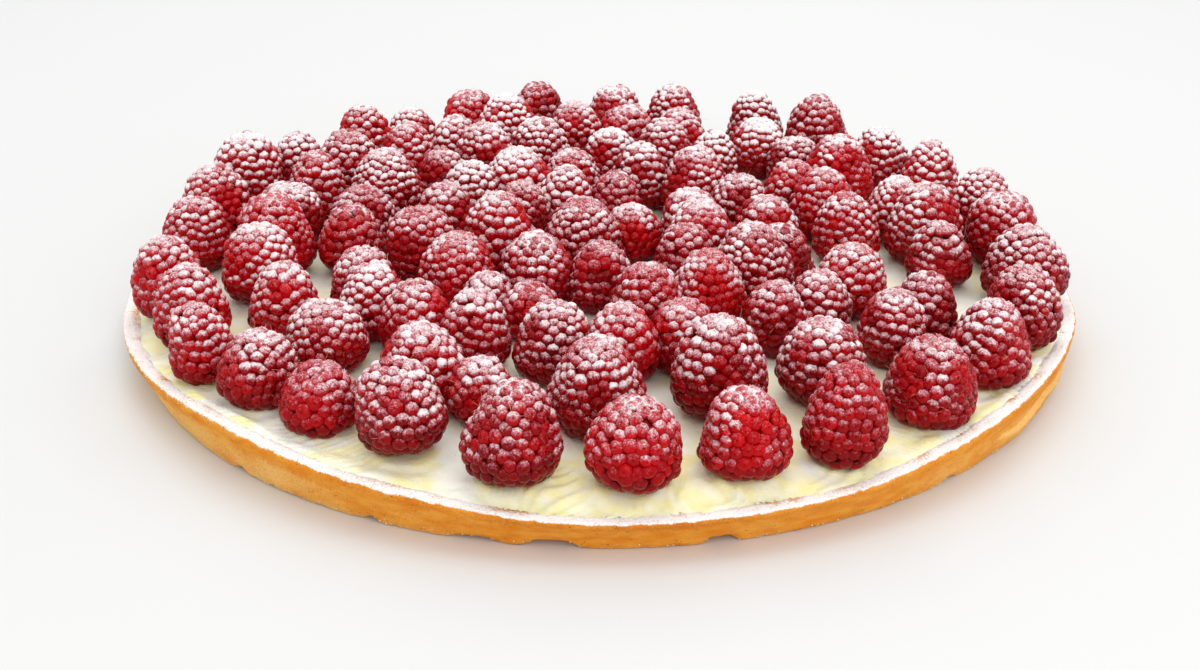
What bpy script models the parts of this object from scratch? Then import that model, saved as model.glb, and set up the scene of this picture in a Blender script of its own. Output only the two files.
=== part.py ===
"""A round raspberry tart: a shallow baked crust, a layer of cream, and about a hundred raspberries standing on it.

Metres, +Z up. The origin is the middle of the underside, and the tart stands on z = 0.
The raspberries stand tip up in rings. Those of the outer ring stand apart, one object each. Further in
they press against their neighbours, and each run of two, three or four that touch is joined into one object.
"""
import math
from collections import namedtuple

import bmesh
import bpy
import numpy as np
from mathutils import Matrix, Vector

MM = 0.001
GAP = 0.3 * MM                  # clearance between pieces that touch

# Crust: a flat round base with a low wall that flares outwards.
TART_RADIUS = 131.3 * MM        # at the rim, where the crust is widest
FOOT_RADIUS = 125.6 * MM        # where the wall meets what the tart stands on
CRUST_HEIGHT = 11.2 * MM        # mean height of the rim
BASE_THICKNESS = 3.5 * MM
RIM_WIDTH = 4.6 * MM            # thickness of the wall at the rim
WALL_SEGMENTS = 48

# The rim isn't level: in some places it stands higher, and where it is low it has sagged outwards.
RIM_WAVES = (                   # waves round the rim, height of a wave, angle of its first crest in degrees
    (4, 2.1 * MM, -38.0),
    (7, 0.25 * MM, 20.0),
    (13, 0.18 * MM, 5.0),
)
RIM_SWAY = 0.3                  # how far the rim moves inwards for each unit that it rises

# Cream: it fills the crust, is level under the fruit, and rises or falls to meet the rim at its edge.
CREAM_LEVEL = 10.6 * MM
CREAM_FLAT_RADIUS = 124 * MM

# Raspberries. The angles of a ring are in degrees. Its first berry stands at the angle "first", and
# the berries stand closer together at the crowded side, by up to "crowding" degrees from even places.
Ring = namedtuple("Ring", "name berries radius first crowding crowded_side runs")
RINGS = (
    Ring("outer", 30, 116.0 * MM, -178.2, 3.6, 172.9, (1,) * 30),
    Ring("second", 26, 93.0 * MM, -141.4, 6.8, 118.1, (1, 1, 2, 1, 1, 1, 2, 3, 3, 3, 3, 3, 2)),
    Ring("third", 22, 71.5 * MM, -156.2, 2.3, 48.6, (4, 3, 3, 3, 3, 3, 3)),
    Ring("fourth", 16, 50.3 * MM, -169.5, 2.0, 59.9, (4,) * 4),
    Ring("fifth", 9, 29.5 * MM, -165.6, 2.0, 76.3, (3,) * 3),
    Ring("middle", 2, 9.0 * MM, -150.0, 0.0, 0.0, (2,)),
)
SEED = 7
BERRY_WIDTH = 19.4 * MM
BERRY_WIDTH_SPREAD = 1.7 * MM
BERRY_WIDTH_LIMITS = (15.0 * MM, 22.4 * MM)
BERRY_SLIMNESS = 1.07           # height over width
BERRY_SLIMNESS_SPREAD = 0.10
BERRY_SLIMNESS_LIMITS = (0.88, 1.30)
BERRY_HEIGHT_LIMIT = 24.5 * MM
BERRY_LEAN = 4.5                # degrees from upright, one standard deviation
BERRY_LEAN_LIMIT = 10.0
BERRY_POINT_LIMITS = (0.0, 0.22)
ANGLE_SPREAD = 1.3              # degrees along the ring
RADIUS_SPREAD = 1.6 * MM
WAIST = 0.36                    # height of the widest level over the berry's height
FULLNESS = 0.80                 # below 1 the sides are fuller than an ellipse
BERRY_SEGMENTS = 8
BERRY_ROWS = 6
FACET_SWELL = 1.04              # an eight-sided berry is this much wider at its corners than the round one
JOINED_BY = 2.7 * MM            # how far the corners of two joined berries reach past each other
SETTLING_STEPS = 320
FREE_STEPS = 180                # of those, the steps in which a berry is still drawn to its place in the ring
PULL_HOME = 0.06

# Berries that stand out from the others, by their ring and place in it. Those of the two outer rings
# also have an angle in degrees and a radius of their own.
Standout = namedtuple("Standout", "width height point angle radius", defaults=(None, None))
STANDOUTS = {
    ("outer", 1): Standout(18.8 * MM, 20.8 * MM, 0.10, -163.5, 117.5 * MM),
    ("outer", 2): Standout(18.3 * MM, 20.4 * MM, 0.10, -154.5, 115.0 * MM),
    ("outer", 3): Standout(16.0 * MM, 19.0 * MM, 0.10, -143.5, 117.5 * MM),
    ("outer", 4): Standout(19.0 * MM, 17.2 * MM, 0.05, -134.0, 114.0 * MM),
    ("outer", 5): Standout(17.8 * MM, 15.2 * MM, 0.00, -124.5, 113.0 * MM),
    ("outer", 6): Standout(20.4 * MM, 20.4 * MM, 0.12, -112.0, 113.0 * MM),
    ("outer", 7): Standout(21.2 * MM, 22.6 * MM, 0.30, -99.0, 117.0 * MM),
    ("outer", 8): Standout(19.2 * MM, 19.8 * MM, 0.05, -87.0, 118.5 * MM),
    ("outer", 9): Standout(19.2 * MM, 20.0 * MM, 0.08, -74.5, 116.5 * MM),
    ("outer", 10): Standout(18.0 * MM, 23.0 * MM, 0.15, -63.5, 119.0 * MM),
    ("outer", 11): Standout(21.0 * MM, 19.8 * MM, 0.10, -49.0, 115.0 * MM),
    ("outer", 12): Standout(19.8 * MM, 20.8 * MM, 0.12, -36.0, 116.0 * MM),
    ("outer", 13): Standout(18.8 * MM, 21.6 * MM, 0.10, -24.5, 117.5 * MM),
    ("outer", 14): Standout(21.8 * MM, 20.0 * MM, 0.10, -10.0, 117.5 * MM),
    ("second", 0): Standout(18.5 * MM, 18.5 * MM, 0.05, -155.0, 92.0 * MM),
    ("second", 1): Standout(20.0 * MM, 17.0 * MM, 0.02, -136.5, 91.0 * MM),
    ("second", 2): Standout(19.2 * MM, 19.8 * MM, 0.10, -118.0, 91.5 * MM),
    ("second", 3): Standout(16.4 * MM, 14.6 * MM, 0.04, -105.5, 92.5 * MM),
    ("second", 4): Standout(22.0 * MM, 23.0 * MM, 0.16, -90.5, 93.5 * MM),
    ("second", 5): Standout(22.4 * MM, 24.5 * MM, 0.26, -73.0, 90.0 * MM),
    ("second", 6): Standout(20.0 * MM, 20.8 * MM, 0.05, -57.0, 93.5 * MM),
    ("second", 7): Standout(16.8 * MM, 20.0 * MM, 0.08, -41.0, 93.0 * MM),
    ("second", 8): Standout(17.0 * MM, 19.0 * MM, 0.08, -29.0, 95.0 * MM),
    ("third", 3): Standout(18.2 * MM, 19.4 * MM, 0.10, -119.0, 69.0 * MM),
    ("third", 4): Standout(19.6 * MM, 19.4 * MM, 0.04, -102.5, 70.5 * MM),
    ("third", 5): Standout(17.6 * MM, 18.6 * MM, 0.08, -84.5, 68.5 * MM),
    ("third", 6): Standout(17.4 * MM, 18.6 * MM, 0.06, -70.0, 68.0 * MM),
    ("third", 7): Standout(17.0 * MM, 18.0 * MM, 0.06, -52.0, 68.0 * MM),
    ("third", 8): Standout(16.8 * MM, 17.2 * MM, 0.04, -38.0, 71.5 * MM),
    ("third", 9): Standout(18.8 * MM, 19.6 * MM, 0.10, -24.0, 71.5 * MM),
    ("third", 10): Standout(18.4 * MM, 20.0 * MM, 0.10, 4.0, 71.0 * MM),
    ("third", 11): Standout(19.4 * MM, 21.0 * MM, 0.08, 18.0, 71.5 * MM),
    ("third", 12): Standout(18.0 * MM, 19.6 * MM, 0.12, 33.0, 70.5 * MM),
    ("fourth", 2): Standout(15.6 * MM, 15.0 * MM, 0.04),
    ("fourth", 3): Standout(15.2 * MM, 14.4 * MM, 0.04),
    ("fifth", 0): Standout(21.0 * MM, 25.5 * MM, 0.20),
}

CRUST_COLOUR = (0.71, 0.42, 0.17)
CREAM_COLOUR = (0.87, 0.80, 0.58)
BERRY_COLOUR = (0.34, 0.02, 0.03)

Berry = namedtuple("Berry", "x y width height lean lean_towards point")


def clear_scene():
    for scene_object in list(bpy.data.objects):
        bpy.data.objects.remove(scene_object, do_unlink=True)


def new_collection(name):
    collection = bpy.data.collections.new(name)
    bpy.context.scene.collection.children.link(collection)
    return collection


def new_material(name, colour, roughness, subsurface=0.0):
    material = bpy.data.materials.new(name)
    material.use_nodes = True
    shader = material.node_tree.nodes["Principled BSDF"]
    shader.inputs["Base Color"].default_value = (*colour, 1.0)
    shader.inputs["Roughness"].default_value = roughness
    shader.inputs["Metallic"].default_value = 0.0
    shader.inputs["Subsurface Weight"].default_value = subsurface
    return material


def new_object(name, bm, material, collection):
    """Turns bm into a smooth-shaded object and frees it."""
    mesh = bpy.data.meshes.new(name)
    bm.to_mesh(mesh)
    bm.free()
    mesh.materials.append(material)
    mesh.shade_smooth()
    mesh.set_sharp_from_angle(angle=math.radians(50.0))
    model = bpy.data.objects.new(name, mesh)
    collection.objects.link(model)
    return model


# ---------------------------------------------------------------- crust and cream

def rim_rise(angle):
    """How far the rim stands above its mean height at an angle round the tart, in radians."""
    return sum(height * math.cos(waves * (angle - math.radians(crest))) for waves, height, crest in RIM_WAVES)


def turned(profile, segments):
    """A closed body: a profile of (radius, height) points that starts and ends on the axis, turned about Z."""
    bm = bmesh.new()
    points = [bm.verts.new((radius, 0.0, height)) for radius, height in profile]
    edges = [bm.edges.new(pair) for pair in zip(points, points[1:])]
    bmesh.ops.spin(
        bm,
        geom=points + edges,
        cent=(0.0, 0.0, 0.0),
        axis=(0.0, 0.0, 1.0),
        angle=math.tau,
        steps=segments,
        use_merge=True,
    )
    bmesh.ops.remove_doubles(bm, verts=bm.verts, dist=1e-5)
    bmesh.ops.recalc_face_normals(bm, faces=bm.faces)
    return bm


def bend_to_rim(bm):
    """Lifts and narrows the wall as the rim rises, in full at the rim and not at all at the base.

    Faces that lie against each other are cut along the same diagonal, so that the gap between them stays even.
    """
    for vertex in bm.verts:
        radius = math.hypot(vertex.co.x, vertex.co.y)
        share = (vertex.co.z - BASE_THICKNESS) / (CRUST_HEIGHT - BASE_THICKNESS)
        if share <= 0.0 or radius < CREAM_FLAT_RADIUS + GAP:
            continue
        rise = rim_rise(math.atan2(vertex.co.y, vertex.co.x)) * min(share, 1.0)
        vertex.co.xy *= 1.0 - RIM_SWAY * rise / radius
        vertex.co.z += rise
    bmesh.ops.triangulate(bm, faces=bm.faces, quad_method="SHORT_EDGE")


def wall_inside():
    """Inner side of the wall from its foot to the rim, as (radius, height) points."""
    foot = (FOOT_RADIUS - RIM_WIDTH, BASE_THICKNESS)
    top = (TART_RADIUS - RIM_WIDTH, CRUST_HEIGHT - 0.9 * MM)
    return foot, top


def make_crust(collection):
    foot, top = wall_inside()
    widest = TART_RADIUS - RIM_SWAY * sum(height for _, height, _ in RIM_WAVES)
    profile = (
        (0.0, foot[1]),
        foot,
        top,
        (top[0] + 1.3 * MM, CRUST_HEIGHT),
        (widest - 1.1 * MM, CRUST_HEIGHT - 0.1 * MM),
        (widest, CRUST_HEIGHT - 1.4 * MM),
        (FOOT_RADIUS + 3.0 * MM, 0.52 * CRUST_HEIGHT),
        (FOOT_RADIUS + 0.9 * MM, 1.0 * MM),
        (FOOT_RADIUS, 0.0),
        (0.0, 0.0),
    )
    bm = turned(profile, WALL_SEGMENTS)
    bend_to_rim(bm)
    material = new_material("baked_pastry", CRUST_COLOUR, 0.75)
    return new_object("crust", bm, material, collection)


def make_cream(collection):
    foot, top = wall_inside()
    profile = (
        (0.0, CREAM_LEVEL),
        (CREAM_FLAT_RADIUS, CREAM_LEVEL),
        (top[0] - GAP, top[1]),
        (foot[0] - GAP, foot[1] + GAP),
        (0.0, foot[1] + GAP),
    )
    bm = turned(profile, WALL_SEGMENTS)
    bend_to_rim(bm)
    material = new_material("pale_cream", CREAM_COLOUR, 0.5, subsurface=0.1)
    return new_object("cream", bm, material, collection)


# ---------------------------------------------------------------- where the raspberries stand

def spread(rng, mean, deviation, limits, count):
    """Seeded normal draws, held within limits."""
    return np.clip(rng.normal(mean, deviation, count), *limits)


def ring_of_berries(ring, rng):
    """The berries of one ring before they settle: evenly round it, but closer together at its crowded side."""
    count = ring.berries
    even = ring.first + np.arange(count) * 360.0 / count
    crowded = -ring.crowding * np.sin(np.radians(even - ring.crowded_side))
    angle = np.radians(even + crowded + rng.normal(0.0, ANGLE_SPREAD, count))
    radius = ring.radius + rng.normal(0.0, RADIUS_SPREAD, count)
    width = spread(rng, BERRY_WIDTH, BERRY_WIDTH_SPREAD, BERRY_WIDTH_LIMITS, count)
    slimness = spread(rng, BERRY_SLIMNESS, BERRY_SLIMNESS_SPREAD, BERRY_SLIMNESS_LIMITS, count)
    lean = np.abs(spread(rng, 0.0, BERRY_LEAN, (-BERRY_LEAN_LIMIT, BERRY_LEAN_LIMIT), count))
    towards = rng.uniform(0.0, math.tau, count)
    point = rng.uniform(*BERRY_POINT_LIMITS, count)
    height = np.minimum(width * slimness, BERRY_HEIGHT_LIMIT)
    x = radius * np.cos(angle)
    y = radius * np.sin(angle)
    berries = [Berry(*values) for values in zip(x, y, width, height, lean, towards, point)]
    for (name, number), (width, height, point, angle, radius) in STANDOUTS.items():
        if name != ring.name:
            continue
        berries[number] = berries[number]._replace(width=width, height=height, point=point)
        if angle is not None:
            turn = math.radians(angle)
            berries[number] = berries[number]._replace(x=radius * math.cos(turn), y=radius * math.sin(turn))
    return berries


def waist_offset(berry):
    """How far a berry's widest level lies from its foot, sideways, because it leans."""
    sideways = math.sin(math.radians(berry.lean)) * WAIST * berry.height
    return sideways * math.cos(berry.lean_towards), sideways * math.sin(berry.lean_towards)


def settle(berries, mates):
    """Moves the berries until joined ones reach into each other and all others stand clear.

    mates holds the index pairs of the joined ones. The distances are taken at the widest level of
    each berry. A berry is drawn to its place in the ring during the first steps, and is then free
    to give way. Its foot stays on the level part of the cream.
    """
    lean_out = np.array([waist_offset(berry) for berry in berries])
    home = np.array([(berry.x, berry.y) for berry in berries]) + lean_out
    room = np.array([berry.width for berry in berries]) * FACET_SWELL / 2.0
    wanted = room[:, None] + room[None, :] + 2.0 * GAP
    joined = np.zeros(wanted.shape, dtype=bool)
    for one, other in mates:
        joined[one, other] = joined[other, one] = True
    wanted[joined] -= JOINED_BY + 2.0 * GAP
    np.fill_diagonal(wanted, 0.0)
    foot = math.sin(math.pi / BERRY_ROWS) ** FULLNESS * room
    edge = CREAM_FLAT_RADIUS - foot
    place = home.copy()
    for step in range(SETTLING_STEPS):
        if step < FREE_STEPS:
            place += PULL_HOME * (home - place)
        apart = place[:, None] - place[None, :]
        distance = np.maximum(np.linalg.norm(apart, axis=2), 1e-9)
        short = wanted - distance
        push = np.where(joined | (short > 0.0), short, 0.0)
        place += 0.25 * np.sum(apart / distance[:, :, None] * push[:, :, None], axis=1)
        radius = np.linalg.norm(place, axis=1)
        place *= np.minimum(1.0, edge / radius)[:, None]
    return [berry._replace(x=spot[0], y=spot[1]) for berry, spot in zip(berries, place - lean_out)]


def berry_runs():
    """The settled berries as (node name, berries of that node) in order."""
    berries, mates, runs = [], [], []
    for number, ring in enumerate(RINGS):
        first = len(berries)
        berries += ring_of_berries(ring, np.random.default_rng(SEED + number))
        start = 0
        for run_number, length in enumerate(ring.runs, start=1):
            members = [first + (start + step) % ring.berries for step in range(length)]
            start += length
            mates += zip(members, members[1:])
            kind = "raspberry" if length == 1 else "raspberries"
            runs.append((f"{kind}_{ring.name}_{run_number:02d}", members))
    settled = settle(berries, mates)
    return [(name, [settled[member] for member in members]) for name, members in runs]


# ---------------------------------------------------------------- raspberries

def berry_mesh(berry):
    """One berry: a sphere drawn out to a blunt thimble with a flat foot, leaned over and set down.

    Its corners face along its ring, so that the berries of a run meet corner to corner.
    """
    bm = bmesh.new()
    bmesh.ops.create_uvsphere(bm, u_segments=BERRY_SEGMENTS, v_segments=BERRY_ROWS, radius=1.0)
    foot_level = math.cos(math.pi * (BERRY_ROWS - 1) / BERRY_ROWS) + 0.01
    for vertex in bm.verts:
        level = max(-1.0, min(1.0, vertex.co.z))
        sine = math.sqrt(max(0.0, 1.0 - level * level))
        ring_radius = math.hypot(vertex.co.x, vertex.co.y)
        narrowing = 1.0 - berry.point * max(level, 0.0)
        radius = 0.5 * berry.width * FACET_SWELL * sine ** FULLNESS * narrowing
        if ring_radius > 1e-6:
            vertex.co.xy *= radius / ring_radius
        part_above = WAIST + (1.0 - WAIST) * level if level > 0.0 else WAIST * (1.0 + level)
        vertex.co.z = 0.0 if level < foot_level else part_above * berry.height
    axis = Vector((-math.sin(berry.lean_towards), math.cos(berry.lean_towards), 0.0))
    lean = Matrix.Rotation(math.radians(berry.lean), 4, axis)
    turn = Matrix.Rotation(math.atan2(berry.y, berry.x), 4, "Z")
    bmesh.ops.transform(bm, matrix=lean @ turn, verts=bm.verts)
    lowest = min(vertex.co.z for vertex in bm.verts)
    stand = Vector((berry.x, berry.y, CREAM_LEVEL + GAP - lowest))
    bmesh.ops.translate(bm, vec=stand, verts=bm.verts)
    return bm


def join_to(model, other):
    """Boolean union of other into model; other is removed."""
    union = model.modifiers.new("union", "BOOLEAN")
    union.operation = "UNION"
    union.solver = "EXACT"
    union.object = other
    bpy.context.view_layer.update()
    evaluated = model.evaluated_get(bpy.context.evaluated_depsgraph_get())
    joined = bpy.data.meshes.new_from_object(evaluated)
    model.modifiers.clear()
    model.data = joined
    bpy.data.objects.remove(other, do_unlink=True)


def make_raspberries(collection, helpers):
    material = new_material("raspberry", BERRY_COLOUR, 0.35, subsurface=0.2)
    for name, berries in berry_runs():
        model = new_object(name, berry_mesh(berries[0]), material, collection)
        for berry in berries[1:]:
            other = new_object("joined_in", berry_mesh(berry), material, helpers)
            join_to(model, other)


def main():
    clear_scene()
    tart = new_collection("raspberry_tart")
    helpers = new_collection("helpers")
    make_crust(tart)
    make_cream(tart)
    make_raspberries(tart, helpers)


main()
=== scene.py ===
"""How a round raspberry tart looks: baked crust, cream, sugared raspberries, and what is scattered on them.

Metres, +Z up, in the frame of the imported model. Every piece stands where its solid stands, and its
object stays at the origin. Surfaces are worked out as whole arrays: a profile carried round the tart,
a thimble covered in rows of drupelets, and small closed shapes copied to many places.
"""
import itertools
import logging
import math
from dataclasses import dataclass, field, replace
from enum import Enum

import bpy
import numpy as np
from mathutils import Matrix, Vector


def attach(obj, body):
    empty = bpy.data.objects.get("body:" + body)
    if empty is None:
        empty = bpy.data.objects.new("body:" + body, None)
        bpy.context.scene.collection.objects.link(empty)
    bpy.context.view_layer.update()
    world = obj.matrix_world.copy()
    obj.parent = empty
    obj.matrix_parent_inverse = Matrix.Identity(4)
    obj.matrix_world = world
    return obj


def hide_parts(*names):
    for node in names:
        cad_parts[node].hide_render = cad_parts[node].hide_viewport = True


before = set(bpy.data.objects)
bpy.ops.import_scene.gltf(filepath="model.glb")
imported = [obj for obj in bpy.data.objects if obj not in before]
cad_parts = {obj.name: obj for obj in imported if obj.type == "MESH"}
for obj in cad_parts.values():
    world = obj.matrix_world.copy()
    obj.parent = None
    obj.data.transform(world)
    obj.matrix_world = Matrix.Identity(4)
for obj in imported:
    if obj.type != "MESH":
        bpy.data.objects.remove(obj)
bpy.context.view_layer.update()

log = logging.getLogger("raspberry_tart")

Array = np.ndarray
Colour = tuple[float, float, float, float]
Span = tuple[float, float]
Draws = np.random.Generator
Piece = bpy.types.Object
Material = bpy.types.Material
Socket = bpy.types.NodeSocket
MM = 0.001
BODY = "root"


# ---------------------------------------------------------------- numbers and colours

def paint(red: int, green: int, blue: int) -> Colour:
    """A display colour of 0 to 255 as linear light.

    Args:
        red: Red on a display.
        green: Green on a display.
        blue: Blue on a display.

    Returns:
        The colour as red, green, blue and an alpha of one.
    """
    parts = [part / 255.0 for part in (red, green, blue)]
    linear = [part / 12.92 if part <= 0.04045 else ((part + 0.055) / 1.055) ** 2.4 for part in parts]
    return (*linear, 1.0)


def smooth_step(values: Array, low: float | Array, high: float | Array) -> Array:
    """Rises smoothly from 0 at low to 1 at high: share squared times three less twice the share.

    Args:
        values: Any array.
        low: Where the rise begins.
        high: Where the rise ends; below low, the step falls instead.

    Returns:
        An array of the same shape, between 0 and 1.
    """
    share = np.clip((values - low) / (high - low), 0.0, 1.0)
    return share * share * (3.0 - 2.0 * share)


def scrambled(whole: Array, seed: int) -> Array:
    """Mixes the bits of whole lattice coordinates into numbers that look random.

    Each coordinate is multiplied by a large prime, and the products are joined bit by bit. The
    result is then folded onto itself three times and multiplied, so that every bit reaches all others.

    Args:
        whole: Whole coordinates, with the three of each lattice corner along the last axis.
        seed: Chooses one of many unlike fields.

    Returns:
        One number between -1 and 1 for each corner.
    """
    mixed = (whole + 4096) * np.array([73856093, 19349663, 83492791])
    key = mixed[..., 0] ^ mixed[..., 1] ^ mixed[..., 2] ^ (seed * 668265263)
    for shift in (15, 12, 16):
        key = ((key ^ (key >> shift)) * 739982445) & 0xFFFFFFFF
    return key / 2.0 ** 31 - 1.0


def lattice_noise(points: Array, cell: float, seed: int) -> Array:
    """Smooth uneven field: each point takes the smoothed blend of its eight lattice corners' numbers.

    Args:
        points: Points, with their three coordinates along the last axis.
        cell: Size of a lattice cell, about the size of the field's lumps.
        seed: Chooses one of many unlike fields.

    Returns:
        One number between -1 and 1 for each point.
    """
    scaled = points / cell
    corner = np.floor(scaled).astype(np.int64)
    share = smooth_step(scaled - corner, 0.0, 1.0)
    total = np.zeros(points.shape[:-1])
    for offset in itertools.product((0, 1), repeat=3):
        weight = np.prod(np.where(np.array(offset) == 1, share, 1.0 - share), axis=-1)
        total += weight * scrambled(corner + np.array(offset), seed)
    return total


def rough_noise(points: Array, cell: float, seed: int, octaves: int = 3) -> Array:
    """Sum of lattice noises, each of half the size and half the strength of the one before.

    Args:
        points: Points, with their three coordinates along the last axis.
        cell: Lump size of the first and strongest noise.
        seed: Seed of the first noise.
        octaves: How many noises are added.

    Returns:
        One number for each point, nearly always between -1 and 1.
    """
    layers = [lattice_noise(points, cell / 2.0 ** step, seed + step) / 2.0 ** step for step in range(octaves)]
    return sum(layers) / 1.5


def turns(steps: int) -> Array:
    """Angles of even steps once round, from zero, in radians."""
    return np.arange(steps) * math.tau / steps


def ring_points(radius: Array | float, angle: Array, height: Array | float) -> Array:
    """Points about the Z axis: radius times cosine and sine of the angle, at a height.

    Args:
        radius: Distances from the axis.
        angle: Angles round it in radians.
        height: Heights.

    Returns:
        The points, with their three coordinates along a last axis.
    """
    return np.stack(np.broadcast_arrays(radius * np.cos(angle), radius * np.sin(angle), height), axis=-1)


# ---------------------------------------------------------------- meshes from arrays

@dataclass
class Shape:
    """A closed surface as arrays, ready to become a mesh or to be joined to others.

    Faces are kept by their number of corners. Each corner may have a place on the shape's own map.
    """

    points: Array
    faces: list[Array] = field(default_factory=list)
    fields: dict[str, Array] = field(default_factory=dict)
    places: list[Array] = field(default_factory=list)

    def object(self, name: str, material: Material) -> Piece:
        """Turns the arrays into a smooth-shaded object at the origin.

        Args:
            name: Name of the object and its mesh.
            material: Its only material.

        Returns:
            The new object, linked to the scene.
        """
        mesh = bpy.data.meshes.new(name)
        corners = np.concatenate([block.ravel() for block in self.faces])
        sizes = np.concatenate([np.full(len(block), block.shape[1]) for block in self.faces])
        starts = np.concatenate([[0], np.cumsum(sizes)[:-1]])
        mesh.vertices.add(len(self.points))
        mesh.vertices.foreach_set("co", np.ascontiguousarray(self.points, dtype=np.float32).ravel())
        mesh.loops.add(len(corners))
        mesh.loops.foreach_set("vertex_index", corners.astype(np.int32))
        mesh.polygons.add(len(sizes))
        mesh.polygons.foreach_set("loop_start", starts.astype(np.int32))
        mesh.polygons.foreach_set("use_smooth", np.ones(len(sizes), dtype=bool))
        for label, values in self.fields.items():
            layer = mesh.attributes.new(label, "FLOAT", "POINT")
            layer.data.foreach_set("value", values.astype(np.float32))
        if self.places:
            flat = np.concatenate([block.reshape(-1, 2) for block in self.places])
            layer = mesh.uv_layers.new(name="OFBake")
            layer.data.foreach_set("uv", flat.astype(np.float32).ravel())
        mesh.update(calc_edges=True)
        mesh.materials.append(material)
        model = bpy.data.objects.new(name, mesh)
        bpy.context.scene.collection.objects.link(model)
        return model


def joined(shapes: list[Shape]) -> Shape:
    """Puts shapes with the same fields together into one.

    Args:
        shapes: At least one shape. All have the same kinds of faces in the same order.

    Returns:
        A shape that holds all of their points and faces.
    """
    firsts = np.cumsum([0] + [len(shape.points) for shape in shapes[:-1]])
    moved = [[block + first for block in shape.faces] for shape, first in zip(shapes, firsts)]
    return Shape(
        np.concatenate([shape.points for shape in shapes]),
        [np.concatenate(blocks) for blocks in zip(*moved)],
        {name: np.concatenate([shape.fields[name] for shape in shapes]) for name in shapes[0].fields},
        [np.concatenate(blocks) for blocks in zip(*[shape.places for shape in shapes])],
    )


def ring_quads(grid: Array) -> Array:
    """Quads between neighbouring rows of a grid of point numbers whose rows close on themselves."""
    after = np.roll(grid, -1, axis=1)
    return np.stack([grid[:-1], grid[1:], after[1:], after[:-1]], axis=-1).reshape(-1, 4)


def turned_shape(
    rings: Array, fields: dict[str, Array], poles: Array, pole_fields: dict[str, Array]
) -> Shape:
    """Closes a grid of rings about the Z axis with a point at its start and its end.

    Rings run from the upper pole outwards and down to the lower pole, and each ring runs
    anticlockwise seen from above, so that the faces point outwards.

    Args:
        rings: Points of the rings, with one row for each ring, one column for each step round it.
        fields: One number for each point of the rings, by name.
        poles: The upper and the lower pole.
        pole_fields: One number for each pole, by name.

    Returns:
        The closed shape: triangles at the poles, and quads.
    """
    rows, columns = rings.shape[:2]
    grid = 1 + np.arange(rows * columns).reshape(rows, columns)
    after = np.roll(grid, -1, axis=1)
    last = rows * columns + 1
    upper = np.stack([np.zeros(columns, dtype=int), grid[0], after[0]], axis=-1)
    lower = np.stack([np.full(columns, last), after[-1], grid[-1]], axis=-1)
    points = np.concatenate([poles[:1], rings.reshape(-1, 3), poles[1:]])
    values = {
        name: np.concatenate([pole_fields[name][:1], grid_values.ravel(), pole_fields[name][1:]])
        for name, grid_values in fields.items()
    }
    return Shape(points, [np.concatenate([upper, lower]), ring_quads(grid)], values)


def repeated(faces: list[Array], count: int, points: int) -> list[Array]:
    """Faces of many copies of one small shape, whose points follow each other copy by copy.

    Args:
        faces: The faces of one, by their number of corners.
        count: How many copies there are.
        points: How many points each has.

    Returns:
        The faces of all copies, by their number of corners.
    """
    first = np.arange(count)[:, None, None] * points
    return [(block[None] + first).reshape(-1, block.shape[1]) for block in faces]


def copies(template: Array, faces: list[Array], centres: Array, axes: Array) -> Shape:
    """Copies a small closed shape to many places at once.

    Args:
        template: Points of the small shape.
        faces: Its faces, by their number of corners.
        centres: One place for each copy.
        axes: Three vectors for each copy, which carry the template's x, y and z.

    Returns:
        All copies in one shape, without fields.
    """
    points = centres[:, None, :] + np.einsum("pk,nkc->npc", template, axes)
    return Shape(points.reshape(-1, 3), repeated(faces, len(centres), len(template)))


def report(piece: Piece) -> None:
    """Logs a piece's name, its faces and its size in millimetres."""
    size = ", ".join(f"{length / MM:.1f}" for length in piece.dimensions)
    log.info("%s: %d faces, %s mm", piece.name, len(piece.data.polygons), size)


# ---------------------------------------------------------------- materials

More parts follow.
